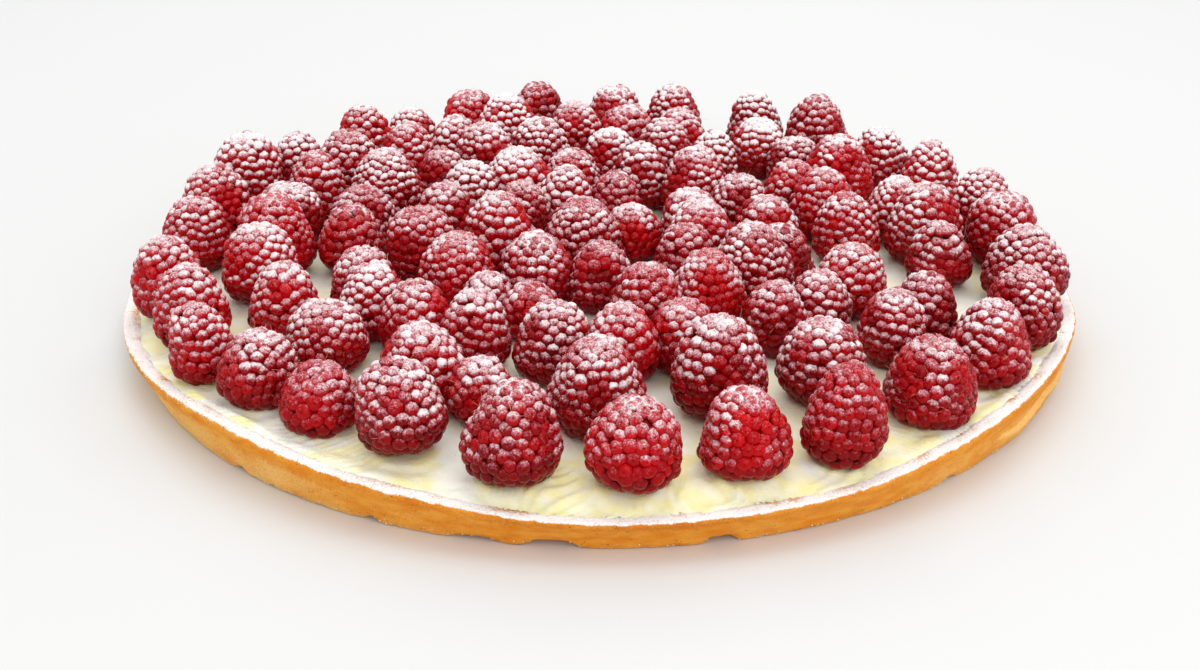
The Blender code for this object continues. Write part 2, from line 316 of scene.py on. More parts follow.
class Sketch:
    """A material in the making: its shader, and short ways to the nodes that the finishes share."""

    def __init__(self, name: str) -> None:
        """Starts an empty material with a Principled shader.

        Args:
            name: Name of the material.
        """
        self.material = bpy.data.materials.new(name)
        self.material.use_nodes = True
        self.nodes = self.material.node_tree.nodes
        self.links = self.material.node_tree.links
        self.shader = self.nodes["Principled BSDF"]
        self.place = self.nodes.new("ShaderNodeTexCoord").outputs["Object"]

    def put(self, socket: Socket, value: object) -> None:
        """Gives an input its value.

        Args:
            socket: The input.
            value: A socket to link to it, or a plain value.
        """
        if isinstance(value, Socket):
            self.links.new(value, socket)
        else:
            socket.default_value = value

    def field(self, name: str) -> Socket:
        """Reads a field of the mesh.

        Args:
            name: Name of the field.

        Returns:
            Its value.
        """
        node = self.nodes.new("ShaderNodeAttribute")
        node.attribute_name = name
        return node.outputs["Fac"]

    def noise(
        self, size: float, detail: float = 2.0, roughness: float = 0.5, stretch: float = 1.0
    ) -> Socket:
        """Solid noise on the piece's own coordinates.

        Args:
            size: Rough size of its lumps in metres.
            detail: How many finer noises are added.
            roughness: How strong the finer ones are.
            stretch: How much longer the lumps are sideways than in height.

        Returns:
            A number about 0.5, between 0 and 1.
        """
        mapping = self.nodes.new("ShaderNodeMapping")
        mapping.inputs["Scale"].default_value = (1.0 / stretch, 1.0 / stretch, 1.0)
        self.links.new(self.place, mapping.inputs["Vector"])
        node = self.nodes.new("ShaderNodeTexNoise")
        self.links.new(mapping.outputs["Vector"], node.inputs["Vector"])
        node.inputs["Scale"].default_value = 1.0 / size
        node.inputs["Detail"].default_value = detail
        node.inputs["Roughness"].default_value = roughness
        return node.outputs["Fac"]

    def math(self, operation: str, *values: object) -> Socket:
        """One Math node; its result isn't held between 0 and 1.

        Args:
            operation: What the node does.
            *values: Its inputs in order, as sockets or plain values.

        Returns:
            The result.
        """
        node = self.nodes.new("ShaderNodeMath")
        node.operation = operation
        for socket, value in zip(node.inputs, values):
            self.put(socket, value)
        return node.outputs[0]

    def step(self, value: object, low: object, high: object) -> Socket:
        """Smooth rise from 0 at low to 1 at high.

        Args:
            value: What it depends on.
            low: Where the rise begins.
            high: Where it ends; below low, the step falls instead.

        Returns:
            The step, between 0 and 1.
        """
        node = self.nodes.new("ShaderNodeMapRange")
        node.interpolation_type = "SMOOTHSTEP"
        for name, entry in (("Value", value), ("From Min", low), ("From Max", high)):
            self.put(node.inputs[name], entry)
        return node.outputs["Result"]

    def blend(self, amount: object, one: object, other: object) -> Socket:
        """Colour that goes from one to the other.

        Args:
            amount: 0 for the first colour, 1 for the second.
            one: The first colour.
            other: The second colour.

        Returns:
            The colour between them.
        """
        node = self.nodes.new("ShaderNodeMix")
        node.data_type = "RGBA"
        self.put(node.inputs["Factor"], amount)
        self.put(node.inputs[6], one)
        self.put(node.inputs[7], other)
        return node.outputs[2]

    def scale(self, amount: object, low: float, high: float) -> Socket:
        """Number that goes from low to high as amount goes from 0 to 1."""
        return self.math("MULTIPLY_ADD", amount, high - low, low)

    def bumps(self, height: object, depth: float) -> None:
        """Adds relief to the surface, on top of any that is there.

        Args:
            height: Its height, from 0 to 1.
            depth: How deep it is in metres.
        """
        node = self.nodes.new("ShaderNodeBump")
        node.inputs["Distance"].default_value = depth
        self.put(node.inputs["Height"], height)
        normal = self.shader.inputs["Normal"]
        if normal.is_linked:
            self.links.new(normal.links[0].from_socket, node.inputs["Normal"])
        self.links.new(node.outputs["Normal"], normal)

    def surface(self, colour: object, roughness: object, **settings: object) -> Material:
        """Sets the shader's colour, roughness and plain values.

        Args:
            colour: Base colour, or a socket that gives it.
            roughness: Roughness, or a socket that gives it.
            **settings: Further inputs by name, with _ for a space.

        Returns:
            The finished material.
        """
        self.put(self.shader.inputs["Base Color"], colour)
        self.put(self.shader.inputs["Roughness"], roughness)
        for name, value in settings.items():
            self.shader.inputs[name.replace("_", " ")].default_value = value
        return self.material


@dataclass(frozen=True)
class BerryFinish:
    """Skin of a raspberry: wet red drupelets with painted shade, a deeper red, in the clefts between them,
    and white where icing sugar lies.

    Each drupelet has a small darker scar at its top, where its hair stood. The mesh gives "sugar", how much
    sugar lies at a point; "tone", each drupelet's own red with painted light on those that face up and
    painted shade on the underside; and "rise", which is 1 at the top of a drupelet and 0 in the cleft beside
    it.
    """

    # cleft: painted shade for the clefts between drupelets and for the core seen through them; also the
    # colour of the scars
    cleft: Colour = paint(62, 0, 3)
    ripe: Colour = paint(104, 0, 6)
    fresh: Colour = paint(206, 2, 12)
    thin_sugar: Colour = paint(196, 116, 126)
    sugar: Colour = paint(250, 246, 247)
    grain: float = 0.40 * MM
    patch: float = 1.0 * MM
    uneven_grain: float = 0.48
    uneven_patch: float = 0.4
    cleft_rise: Span = (-0.15, 0.7)
    scar_rise: Span = (0.95, 0.985)
    scar_darkness: float = 0.6
    scar_bareness: float = 0.2
    white_cover: Span = (0.32, 0.92)
    veil_cover: Span = (0.02, 0.58)
    veil_share: float = 0.92
    relief: float = 0.22 * MM
    wet: float = 0.24
    powdery: float = 0.85

    def material(self) -> Material:
        """Builds the material.

        Returns:
            The material, which reads the piece's own coordinates and fields.
        """
        sketch = Sketch("sugared_raspberry")
        tone, rise = sketch.field("tone"), sketch.field("rise")
        # ripe to fresh red by tone: painted light makes up-facing drupelets fresher red, painted shade
        # darkens the underside
        skin = sketch.blend(tone, self.ripe, self.fresh)
        # painted shade: where rise is low, towards the clefts, the red turns to the cleft colour
        skin = sketch.blend(sketch.step(rise, *self.cleft_rise), self.cleft, skin)
        scar = sketch.step(rise, *self.scar_rise)
        skin = sketch.blend(sketch.math("MULTIPLY", scar, self.scar_darkness), skin, self.cleft)
        grains = sketch.noise(self.grain, detail=1.0, roughness=0.6)
        patches = sketch.noise(self.patch, detail=2.0)
        fine = sketch.scale(grains, -self.uneven_grain, self.uneven_grain)
        broad = sketch.scale(patches, -self.uneven_patch, self.uneven_patch)
        uneven = sketch.math("ADD", fine, broad)
        cover = sketch.math("ADD", sketch.field("sugar"), uneven)
        cover = sketch.math("ADD", cover, sketch.scale(scar, 0.0, -self.scar_bareness))
        white = sketch.step(cover, *self.white_cover)
        veil = sketch.step(cover, *self.veil_cover)
        dusted = sketch.blend(white, self.thin_sugar, self.sugar)
        colour = sketch.blend(sketch.scale(veil, 0.0, self.veil_share), skin, dusted)
        sketch.bumps(sketch.math("MULTIPLY", grains, white), self.relief)
        roughness = sketch.scale(veil, self.wet, self.powdery)
        return sketch.surface(
            colour, roughness, Specular_IOR_Level=0.13, Subsurface_Weight=0.1, Subsurface_Scale=1.5 * MM
        )


@dataclass(frozen=True)
class CreamFinish:
    """Pale cream, yellower where it is bare and ridged, and matt white where sugar has settled.

    The mesh gives "bare", which is 1 where no sugar lies.
    """

    custard: Colour = paint(255, 245, 180)
    ivory: Colour = paint(255, 251, 218)
    sugar: Colour = paint(254, 254, 240)
    patch: float = 5.0 * MM
    grain: float = 0.5 * MM
    uneven_grain: float = 0.25
    custard_patch: Span = (0.35, 0.65)
    bared: Span = (0.2, 0.7)
    patch_relief: float = 0.5 * MM
    grain_relief: float = 0.08 * MM
    powdery: float = 0.8
    creamy: float = 0.45

    def material(self) -> Material:
        """Builds the material.

        Returns:
            The material, which reads the piece's own coordinates and fields.
        """
        sketch = Sketch("whipped_cream")
        patches = sketch.noise(self.patch, detail=3.0)
        grains = sketch.noise(self.grain, detail=2.0)
        uneven = sketch.scale(grains, -self.uneven_grain, self.uneven_grain)
        bare = sketch.math("ADD", sketch.field("bare"), uneven)
        cream = sketch.blend(sketch.step(patches, *self.custard_patch), self.ivory, self.custard)
        bare = sketch.step(bare, *self.bared)
        colour = sketch.blend(bare, self.sugar, cream)
        sketch.bumps(patches, self.patch_relief)
        sketch.bumps(grains, self.grain_relief)
        roughness = sketch.scale(bare, self.powdery, self.creamy)
        return sketch.surface(
            colour, roughness, Subsurface_Weight=0.15, Subsurface_Scale=2.0 * MM, Specular_IOR_Level=0.3
        )


@dataclass(frozen=True)
class PastryFinish:
    """Sandy baked crust: golden, browner at its upper edge, and white on top where sugar lies.

    The mesh gives "sugar", how much sugar lies at a point, and "baked", how brown it is, lowered on the two
    front sides by painted light.
    """

    # the lightest crust colour: for pale crust, and for the painted light on the two front sides
    light: Colour = paint(250, 206, 124)
    pale: Colour = paint(242, 168, 60)
    golden: Colour = paint(226, 132, 22)
    brown: Colour = paint(182, 94, 26)
    dark: Colour = paint(132, 64, 18)
    thin_sugar: Colour = paint(228, 196, 172)
    sugar: Colour = paint(252, 247, 243)
    sand: float = 0.55 * MM
    lump: float = 2.2 * MM
    speck: float = 0.8 * MM
    stain: float = 14.0 * MM
    lightest: Span = (0.08, -0.45)
    light_share: float = 0.8
    brownest: Span = (0.25, 1.1)
    pore_sand: Span = (0.36, 0.26)
    pore_share: float = 0.55
    speck_noise: Span = (0.30, 0.24)
    speck_share: float = 0.6
    thin_cover: Span = (0.16, 0.45)
    white_cover: Span = (0.36, 0.80)
    relief: float = 0.25 * MM

    def material(self) -> Material:
        """Builds the material.

        Returns:
            The material, which reads the piece's own coordinates and fields.
        """
        sketch = Sketch("baked_pastry_crumb")
        sand = sketch.noise(self.sand, detail=2.0, roughness=0.6)
        lumps = sketch.noise(self.lump, detail=3.0, stretch=2.5)
        stains = sketch.noise(self.stain, detail=2.0)
        crumb = sketch.blend(sketch.step(lumps, 0.2, 0.8), self.golden, self.pale)
        baked = sketch.math("ADD", sketch.field("baked"), sketch.scale(stains, -0.35, 0.35))
        baked = sketch.math("ADD", baked, sketch.scale(sand, -0.45, 0.45))
        # painted light: where baked is low, as on the two front sides, the crumb turns to the lightest colour
        lightened = sketch.scale(sketch.step(baked, *self.lightest), 0.0, self.light_share)
        crumb = sketch.blend(lightened, crumb, self.light)
        crumb = sketch.blend(sketch.step(baked, *self.brownest), crumb, self.brown)
        pores = sketch.step(sand, *self.pore_sand)
        crumb = sketch.blend(sketch.math("MULTIPLY", pores, self.pore_share), crumb, self.brown)
        specks = sketch.step(sketch.noise(self.speck, detail=1.0), *self.speck_noise)
        crumb = sketch.blend(sketch.math("MULTIPLY", specks, self.speck_share), crumb, self.dark)
        cover = sketch.math("ADD", sketch.field("sugar"), sketch.scale(sand, -0.75, 0.75))
        cover = sketch.math("ADD", cover, sketch.scale(lumps, -0.3, 0.3))
        thin = sketch.blend(sketch.step(cover, *self.thin_cover), crumb, self.thin_sugar)
        colour = sketch.blend(sketch.step(cover, *self.white_cover), thin, self.sugar)
        sketch.bumps(lumps, self.relief)
        sketch.bumps(sand, self.relief)
        return sketch.surface(colour, 0.82, Specular_IOR_Level=0.2)


@dataclass(frozen=True)
class PlainFinish:
    """A small scattered thing of one colour, a little lighter or darker from place to place."""

    name: str
    light: Colour
    dark: Colour
    roughness: float
    size: float = 1.5 * MM

    def material(self) -> Material:
        """Builds the material.

        Returns:
            The material, which reads the piece's own coordinates and fields.
        """
        sketch = Sketch(self.name)
        colour = sketch.blend(sketch.step(sketch.noise(self.size), 0.35, 0.65), self.dark, self.light)
        return sketch.surface(colour, self.roughness, Specular_IOR_Level=0.3)


# ---------------------------------------------------------------- the tart's own measures

@dataclass(frozen=True)
class RimWave:
    """One of the waves that make the rim uneven: how many round the tart, its height, its first crest."""

    waves: int
    height: float
    crest: float


@dataclass(frozen=True)
class TartMeasures:
    """Sizes that the crust, the cream and the berries share with the solids."""

    radius: float = 131.3 * MM
    foot_radius: float = 125.6 * MM
    height: float = 11.2 * MM
    base: float = 3.5 * MM
    cream_level: float = 10.6 * MM
    cream_flat_radius: float = 124 * MM
    gap: float = 0.3 * MM
    rim_sway: float = 0.3
    rim_waves: tuple[RimWave, ...] = (
        RimWave(4, 2.1 * MM, -38.0),
        RimWave(7, 0.25 * MM, 20.0),
        RimWave(13, 0.18 * MM, 5.0),
    )

    @property
    def widest(self) -> float:
        """Radius of the rim where it neither rises nor sinks."""
        return self.radius - self.rim_sway * sum(wave.height for wave in self.rim_waves)

    def rim_rise(self, angle: Array) -> Array:
        """How far the rim stands above its mean height at an angle in radians."""
        return sum(
            wave.height * np.cos(wave.waves * (angle - math.radians(wave.crest))) for wave in self.rim_waves
        )

    def follow_rim(self, points: Array, inner: float, outer: float) -> Array:
        """Lifts points with the rim and draws them inwards, in full at its height and not at all at the base.

        Args:
            points: Rows of three coordinates.
            inner: Radius inside which nothing moves.
            outer: Radius from which on points move in full.

        Returns:
            The moved points.
        """
        radius = np.hypot(points[..., 0], points[..., 1])
        share = np.clip((points[..., 2] - self.base) / (self.height - self.base), 0.0, 1.0)
        share *= smooth_step(radius, inner, outer)
        rise = self.rim_rise(np.arctan2(points[..., 1], points[..., 0])) * share
        moved = points.copy()
        moved[..., :2] *= (1.0 - self.rim_sway * rise / np.maximum(radius, MM))[..., None]
        moved[..., 2] += rise
        return moved


TART = TartMeasures()


# ---------------------------------------------------------------- where the raspberries stand

class SugarHabit(Enum):
    """How icing sugar lies on a berry."""

    CAPS = "on the upper side of each drupelet"
    NET = "in the clefts between the drupelets near the tip"


@dataclass(frozen=True)
class Berry:
    """One raspberry: the middle of its foot, its size, its lean and how pointed it is."""

    x: float
    y: float
    width: float
    height: float
    lean: float
    lean_towards: float
    point: float
    number: int = 0
    sugar: float = 0.8
    habit: SugarHabit = SugarHabit.CAPS

    def waist_offset(self) -> tuple[float, float]:
        """How far its widest level lies from its foot, sideways, because it leans."""
        sideways = math.sin(math.radians(self.lean)) * BerryRings.waist * self.height
        return sideways * math.cos(self.lean_towards), sideways * math.sin(self.lean_towards)


@dataclass(frozen=True)
class Ring:
    """A ring of berries: their number, its radius, its first angle, where they crowd, and its runs."""

    name: str
    berries: int
    radius: float
    first: float
    crowding: float
    crowded_side: float
    runs: tuple[int, ...]


@dataclass(frozen=True)
class Standout:
    """A berry that differs from the others of its ring: its size, its own place, and how its sugar lies.

    Its width, height and distance from the middle are in millimetres, its angle in degrees.
    """

    ring: str
    number: int
    width: float
    height: float
    point: float
    angle: float | None = None
    radius: float | None = None
    sugar: float = 0.9
    habit: SugarHabit = SugarHabit.CAPS

    def applied_to(self, berry: Berry) -> Berry:
        """Changes a berry of the ring into this one.

        Args:
            berry: The berry as its ring has it.

        Returns:
            The berry with this size and sugar, at this place if it has one.
        """
        size = {"width": self.width * MM, "height": self.height * MM, "point": self.point}
        changed = replace(berry, **size, sugar=self.sugar, habit=self.habit)
        if self.angle is None:
            return changed
        turn, distance = math.radians(self.angle), self.radius * MM
        return replace(changed, x=distance * math.cos(turn), y=distance * math.sin(turn))


@dataclass
class BerryRings:
    """Places of all the berries: even rings that then settle until no berry stands in another.

    The draws and their order are those of the solids, so each berry covers its own solid.
    """

    waist = 0.36
    rings: tuple[Ring, ...] = (
        Ring("outer", 30, 116.0 * MM, -178.2, 3.6, 172.9, (1,) * 30),
        Ring("second", 26, 93.0 * MM, -141.4, 6.8, 118.1, (1, 1, 2, 1, 1, 1, 2, 3, 3, 3, 3, 3, 2)),
        Ring("third", 22, 71.5 * MM, -156.2, 2.3, 48.6, (4, 3, 3, 3, 3, 3, 3)),
        Ring("fourth", 16, 50.3 * MM, -169.5, 2.0, 59.9, (4,) * 4),
        Ring("fifth", 9, 29.5 * MM, -165.6, 2.0, 76.3, (3,) * 3),
        Ring("middle", 2, 9.0 * MM, -150.0, 0.0, 0.0, (2,)),
    )
    standouts: tuple[Standout, ...] = (
        Standout("outer", 1, 18.8, 20.8, 0.10, -163.5, 117.5),
        Standout("outer", 2, 18.3, 20.4, 0.10, -154.5, 115.0),
        Standout("outer", 3, 16.0, 19.0, 0.10, -143.5, 117.5),
        Standout("outer", 4, 19.0, 17.2, 0.05, -134.0, 114.0),
        Standout("outer", 5, 17.8, 15.2, 0.00, -124.5, 113.0, 0.7),
        Standout("outer", 6, 20.4, 20.4, 0.12, -112.0, 113.0),
        Standout("outer", 7, 21.2, 22.6, 0.30, -99.0, 117.0, 0.85, SugarHabit.NET),
        Standout("outer", 8, 19.2, 19.8, 0.05, -87.0, 118.5, 0.85, SugarHabit.NET),
        Standout("outer", 9, 19.2, 20.0, 0.08, -74.5, 116.5, 0.9, SugarHabit.NET),
        Standout("outer", 10, 18.0, 23.0, 0.15, -63.5, 119.0, 0.6),
        Standout("outer", 11, 21.0, 19.8, 0.10, -49.0, 115.0, 0.75),
        Standout("outer", 12, 19.8, 20.8, 0.12, -36.0, 116.0),
        Standout("outer", 13, 18.8, 21.6, 0.10, -24.5, 117.5),
        Standout("outer", 14, 21.8, 20.0, 0.10, -10.0, 117.5),
        Standout("second", 0, 18.5, 18.5, 0.05, -155.0, 92.0),
        Standout("second", 1, 20.0, 17.0, 0.02, -136.5, 91.0),
        Standout("second", 2, 19.2, 19.8, 0.10, -118.0, 91.5),
        Standout("second", 3, 16.4, 14.6, 0.04, -105.5, 92.5),
        Standout("second", 4, 22.0, 23.0, 0.16, -90.5, 93.5),
        Standout("second", 5, 22.4, 24.5, 0.26, -73.0, 90.0),
        Standout("second", 6, 20.0, 20.8, 0.05, -57.0, 93.5),
        Standout("second", 7, 16.8, 20.0, 0.08, -41.0, 93.0),
        Standout("second", 8, 17.0, 19.0, 0.08, -29.0, 95.0),
        Standout("third", 3, 18.2, 19.4, 0.10, -119.0, 69.0),
        Standout("third", 4, 19.6, 19.4, 0.04, -102.5, 70.5),
        Standout("third", 5, 17.6, 18.6, 0.08, -84.5, 68.5),
        Standout("third", 6, 17.4, 18.6, 0.06, -70.0, 68.0),
        Standout("third", 7, 17.0, 18.0, 0.06, -52.0, 68.0),
        Standout("third", 8, 16.8, 17.2, 0.04, -38.0, 71.5),
        Standout("third", 9, 18.8, 19.6, 0.10, -24.0, 71.5),
        Standout("third", 10, 18.4, 20.0, 0.10, 4.0, 71.0),
        Standout("third", 11, 19.4, 21.0, 0.08, 18.0, 71.5),
        Standout("third", 12, 18.0, 19.6, 0.12, 33.0, 70.5),
        Standout("fourth", 2, 15.6, 15.0, 0.04),
        Standout("fourth", 3, 15.2, 14.4, 0.04),
        Standout("fifth", 0, 21.0, 25.5, 0.20),
    )
    seed: int = 7
    width: tuple[float, float, float, float] = (19.4 * MM, 1.7 * MM, 15.0 * MM, 22.4 * MM)
    slimness: tuple[float, float, float, float] = (1.07, 0.10, 0.88, 1.30)
    lean: tuple[float, float, float, float] = (0.0, 4.5, -10.0, 10.0)
    height_limit: float = 24.5 * MM
    point_limits: Span = (0.0, 0.22)
    angle_spread: float = 1.3
    radius_spread: float = 1.6 * MM
    facet_swell: float = 1.04
    joined_by: float = 2.7 * MM
    settling_steps: int = 320
    free_steps: int = 180
    push_share: float = 0.25
    pull_home: float = 0.06
    foot_share: float = 0.5 ** 0.8
    sugar_limits: Span = (0.66, 1.10)
    more_behind: float = 0.24
    front_to_back: Span = (-20.0 * MM, 90.0 * MM)
    net_share: float = 0.22

    @staticmethod
    def drawn(rng: Draws, law: tuple[float, float, float, float], count: int) -> Array:
        """Normal draws by mean, deviation, lowest and highest value."""
        mean, deviation, low, high = law
        return np.clip(rng.normal(mean, deviation, count), low, high)

    def ring_of_berries(self, ring: Ring, rng: Draws) -> list[Berry]:
        """Berries of one ring before they settle: even places, drawn together at the crowded side.

        Args:
            ring: The ring.
            rng: Its own random numbers.

        Returns:
            The berries in order round the ring.
        """
        count = ring.berries
        even = ring.first + np.arange(count) * 360.0 / count
        crowded = -ring.crowding * np.sin(np.radians(even - ring.crowded_side))
        angle = np.radians(even + crowded + rng.normal(0.0, self.angle_spread, count))
        radius = ring.radius + rng.normal(0.0, self.radius_spread, count)
        width = self.drawn(rng, self.width, count)
        slimness = self.drawn(rng, self.slimness, count)
        lean = np.abs(self.drawn(rng, self.lean, count))
        towards = rng.uniform(0.0, math.tau, count)
        point = rng.uniform(*self.point_limits, count)
        height = np.minimum(width * slimness, self.height_limit)
        x, y = radius * np.cos(angle), radius * np.sin(angle)
        behind = smooth_step(y, *self.front_to_back)
        sugar = rng.uniform(*self.sugar_limits, count) + self.more_behind * behind
        net = rng.uniform(0.0, 1.0, count) < self.net_share
        drawn = zip(x, y, width, height, lean, towards, point, range(count), sugar, net)
        berries = [
            Berry(*values, habit=SugarHabit.NET if has_net else SugarHabit.CAPS) for *values, has_net in drawn
        ]
        for standout in self.standouts:
            if standout.ring == ring.name:
                berries[standout.number] = standout.applied_to(berries[standout.number])
        return berries

    def settle(self, berries: list[Berry], mates: list[tuple[int, int]]) -> list[Berry]:
        """Moves the berries until joined ones reach into each other and all others stand clear.

        Each step pushes two berries apart, or together if they are joined, by a quarter of what
        their distance lacks, and holds every berry's foot on the level part of the cream. In the
        first steps a berry is also drawn to its place in the ring.

        Args:
            berries: All berries at their places in the rings.
            mates: Pairs of indices of joined berries.

        Returns:
            The berries where they came to rest.
        """
        lean_out = np.array([berry.waist_offset() for berry in berries])
        home = np.array([(berry.x, berry.y) for berry in berries]) + lean_out
        room = np.array([berry.width for berry in berries]) * self.facet_swell / 2.0
        wanted = room[:, None] + room[None, :] + 2.0 * TART.gap
        touching = np.zeros(wanted.shape, dtype=bool)
        one, other = np.array(mates).T
        touching[one, other] = touching[other, one] = True
        wanted[touching] -= self.joined_by + 2.0 * TART.gap
        np.fill_diagonal(wanted, 0.0)
        edge = TART.cream_flat_radius - self.foot_share * room
        place = home.copy()
        for step in range(self.settling_steps):
            if step < self.free_steps:
                place += self.pull_home * (home - place)
            apart = place[:, None] - place[None, :]
            distance = np.maximum(np.linalg.norm(apart, axis=2), 1e-9)
            short = wanted - distance
            push = np.where(touching | (short > 0.0), short, 0.0)
            place += self.push_share * np.sum(apart / distance[:, :, None] * push[:, :, None], axis=1)
            radius = np.linalg.norm(place, axis=1)
            place *= np.minimum(1.0, edge / radius)[:, None]
        spots = place - lean_out
        return [replace(berry, x=x, y=y, number=n) for n, (berry, (x, y)) in enumerate(zip(berries, spots))]

    def runs(self) -> dict[str, list[Berry]]:
        """Settled berries by the name of the node that holds them.

        Returns:
            For each berry node, its berries in order.
        """
        berries, mates, members_of = [], [], {}
        for number, ring in enumerate(self.rings):
            first = len(berries)
            berries += self.ring_of_berries(ring, np.random.default_rng(self.seed + number))
            starts = itertools.accumulate(ring.runs, initial=0)
            for run_number, (start, length) in enumerate(zip(starts, ring.runs), start=1):
                members = [first + (start + step) % ring.berries for step in range(length)]
                mates += zip(members, members[1:])
                kind = "raspberry" if length == 1 else "raspberries"
                members_of[f"{kind}_{ring.name}_{run_number:02d}"] = members
        settled = self.settle(berries, mates)
        return {name: [settled[member] for member in members] for name, members in members_of.items()}


# ---------------------------------------------------------------- raspberries

@dataclass
class Drupelets:
    """The small round beads that cover a berry, all of them copies of one dome with a flat back."""

    segments: int = 8
    ring_angles: tuple[float, ...] = (26.0, 52.0, 78.0, 104.0)
    disc_radius: float = 0.46
    back_corner: float = 0.04
    back_size: float = 0.06

    def template(self) -> tuple[Array, list[Array]]:
        """One bead of radius one: its top, rings at steady angles from it, and a flat back.

        Returns:
            Its points, and its triangles, quads and back.
        """
        polar = np.radians(self.ring_angles)[:, None]
        rings = ring_points(np.sin(polar), turns(self.segments), np.cos(polar))
        grid = 1 + np.arange(polar.size * self.segments).reshape(polar.size, self.segments)
        cap = np.stack([np.zeros(self.segments, dtype=int), grid[0], np.roll(grid[0], -1)], axis=-1)
        back = grid[-1][::-1][None]
        return np.concatenate([[[0.0, 0.0, 1.0]], rings.reshape(-1, 3)]), [cap, ring_quads(grid), back]

    def map_places(self, faces: list[Array], points: Array, cells: Array, side: int) -> list[Array]:
        """Lays each bead out as a disc in its own square of the map, and its back in a corner of it.

        A point lies as far from the disc's middle as it is from the bead's top along the surface.

        Args:
            faces: The template's faces.
            points: The template's points.
            cells: The number of each bead's square.
            side: How many squares the map has along a side.

        Returns:
            Places of all corners, by kind of face.
        """
        distance = np.arccos(np.clip(points[:, 2], -1.0, 1.0)) / math.radians(self.ring_angles[-1])
        direction = points[:, :2] / np.maximum(np.hypot(points[:, 0], points[:, 1]), 1e-9)[:, None]
        disc = 0.5 + self.disc_radius * distance[:, None] * direction
        corner = np.stack([cells % side, cells // side], axis=-1)
        own = [disc[block] for block in faces]
        own[-1] = self.back_corner + self.back_size * own[-1]
        return [((corner[:, None, None, :] + block) / side).reshape(-1, block.shape[1], 2) for block in own]


@dataclass(frozen=True)
class SugarFall:
    """How icing sugar that falls from above comes to lie on a berry and on each of its drupelets.

    The first pairs say where a smooth step begins and ends: how far a surface or a whole drupelet
    faces up runs from -1 to 1, and a crest is 1 at the top of a drupelet and 0 at its side. The
    pairs after them are an amount and what a full step adds to it.
    """

    facing: Span = (-0.06, 0.76)
    off_cleft: Span = (0.05, 0.6)
    flank: Span = (-0.45, 0.55)
    crown: Span = (0.45, 0.9)
    drupelet_top: Span = (0.60, 0.98)
    underneath: Span = (0.2, -0.5)
    capped: Span = (0.05, 0.95)
    up_the_flank: Span = (0.30, 0.64)
    crown_caps: Span = (0.50, 0.34)
    crown_net: Span = (1.10, -0.6)
    net_flank: float = 0.8
    lost_underneath: float = 0.4
    lost_in_clefts: float = 0.3
    lost_everywhere: float = 0.08

    def amount(self, berry: Berry, facing_up: Array, crest: Array, berry_up: Array, own: Array) -> Array:
        """How much sugar lies at a point: more where it faces up and isn't sheltered.

        Args:
            berry: The berry, with its own amount of sugar.
            facing_up: How far the surface faces up.
            crest: How near the point is to the top of its drupelet.
            berry_up: How far the berry as a whole faces up at the drupelet.
            own: What sets each drupelet apart from the others.

        Returns:
            The amount, about 0 for none and 1 for a full cover; below 0 on what faces down.
        """
        caught = smooth_step(facing_up, *self.facing)
        outer = smooth_step(crest, *self.off_cleft)
        crown = smooth_step(berry_up, *self.crown)
        height_share = smooth_step(berry_up, *self.flank)
        on_flank = (self.capped[0] + self.capped[1] * outer) * caught
        on_flank = on_flank * (self.up_the_flank[0] + self.up_the_flank[1] * height_share)
        if berry.habit is SugarHabit.NET:
            on_flank = self.net_flank * on_flank
            on_crown = self.crown_net[0] + self.crown_net[1] * smooth_step(crest, *self.drupelet_top)
        else:
            on_crown = self.crown_caps[0] + self.crown_caps[1] * outer
        amount = on_flank + crown * (on_crown * caught - on_flank)
        below = self.lost_underneath * smooth_step(facing_up, *self.underneath)
        in_cleft = self.lost_in_clefts * (1.0 - outer) * (1.0 - crown)
        return berry.sugar * amount * (1.0 + own) - (below + in_cleft + self.lost_everywhere)


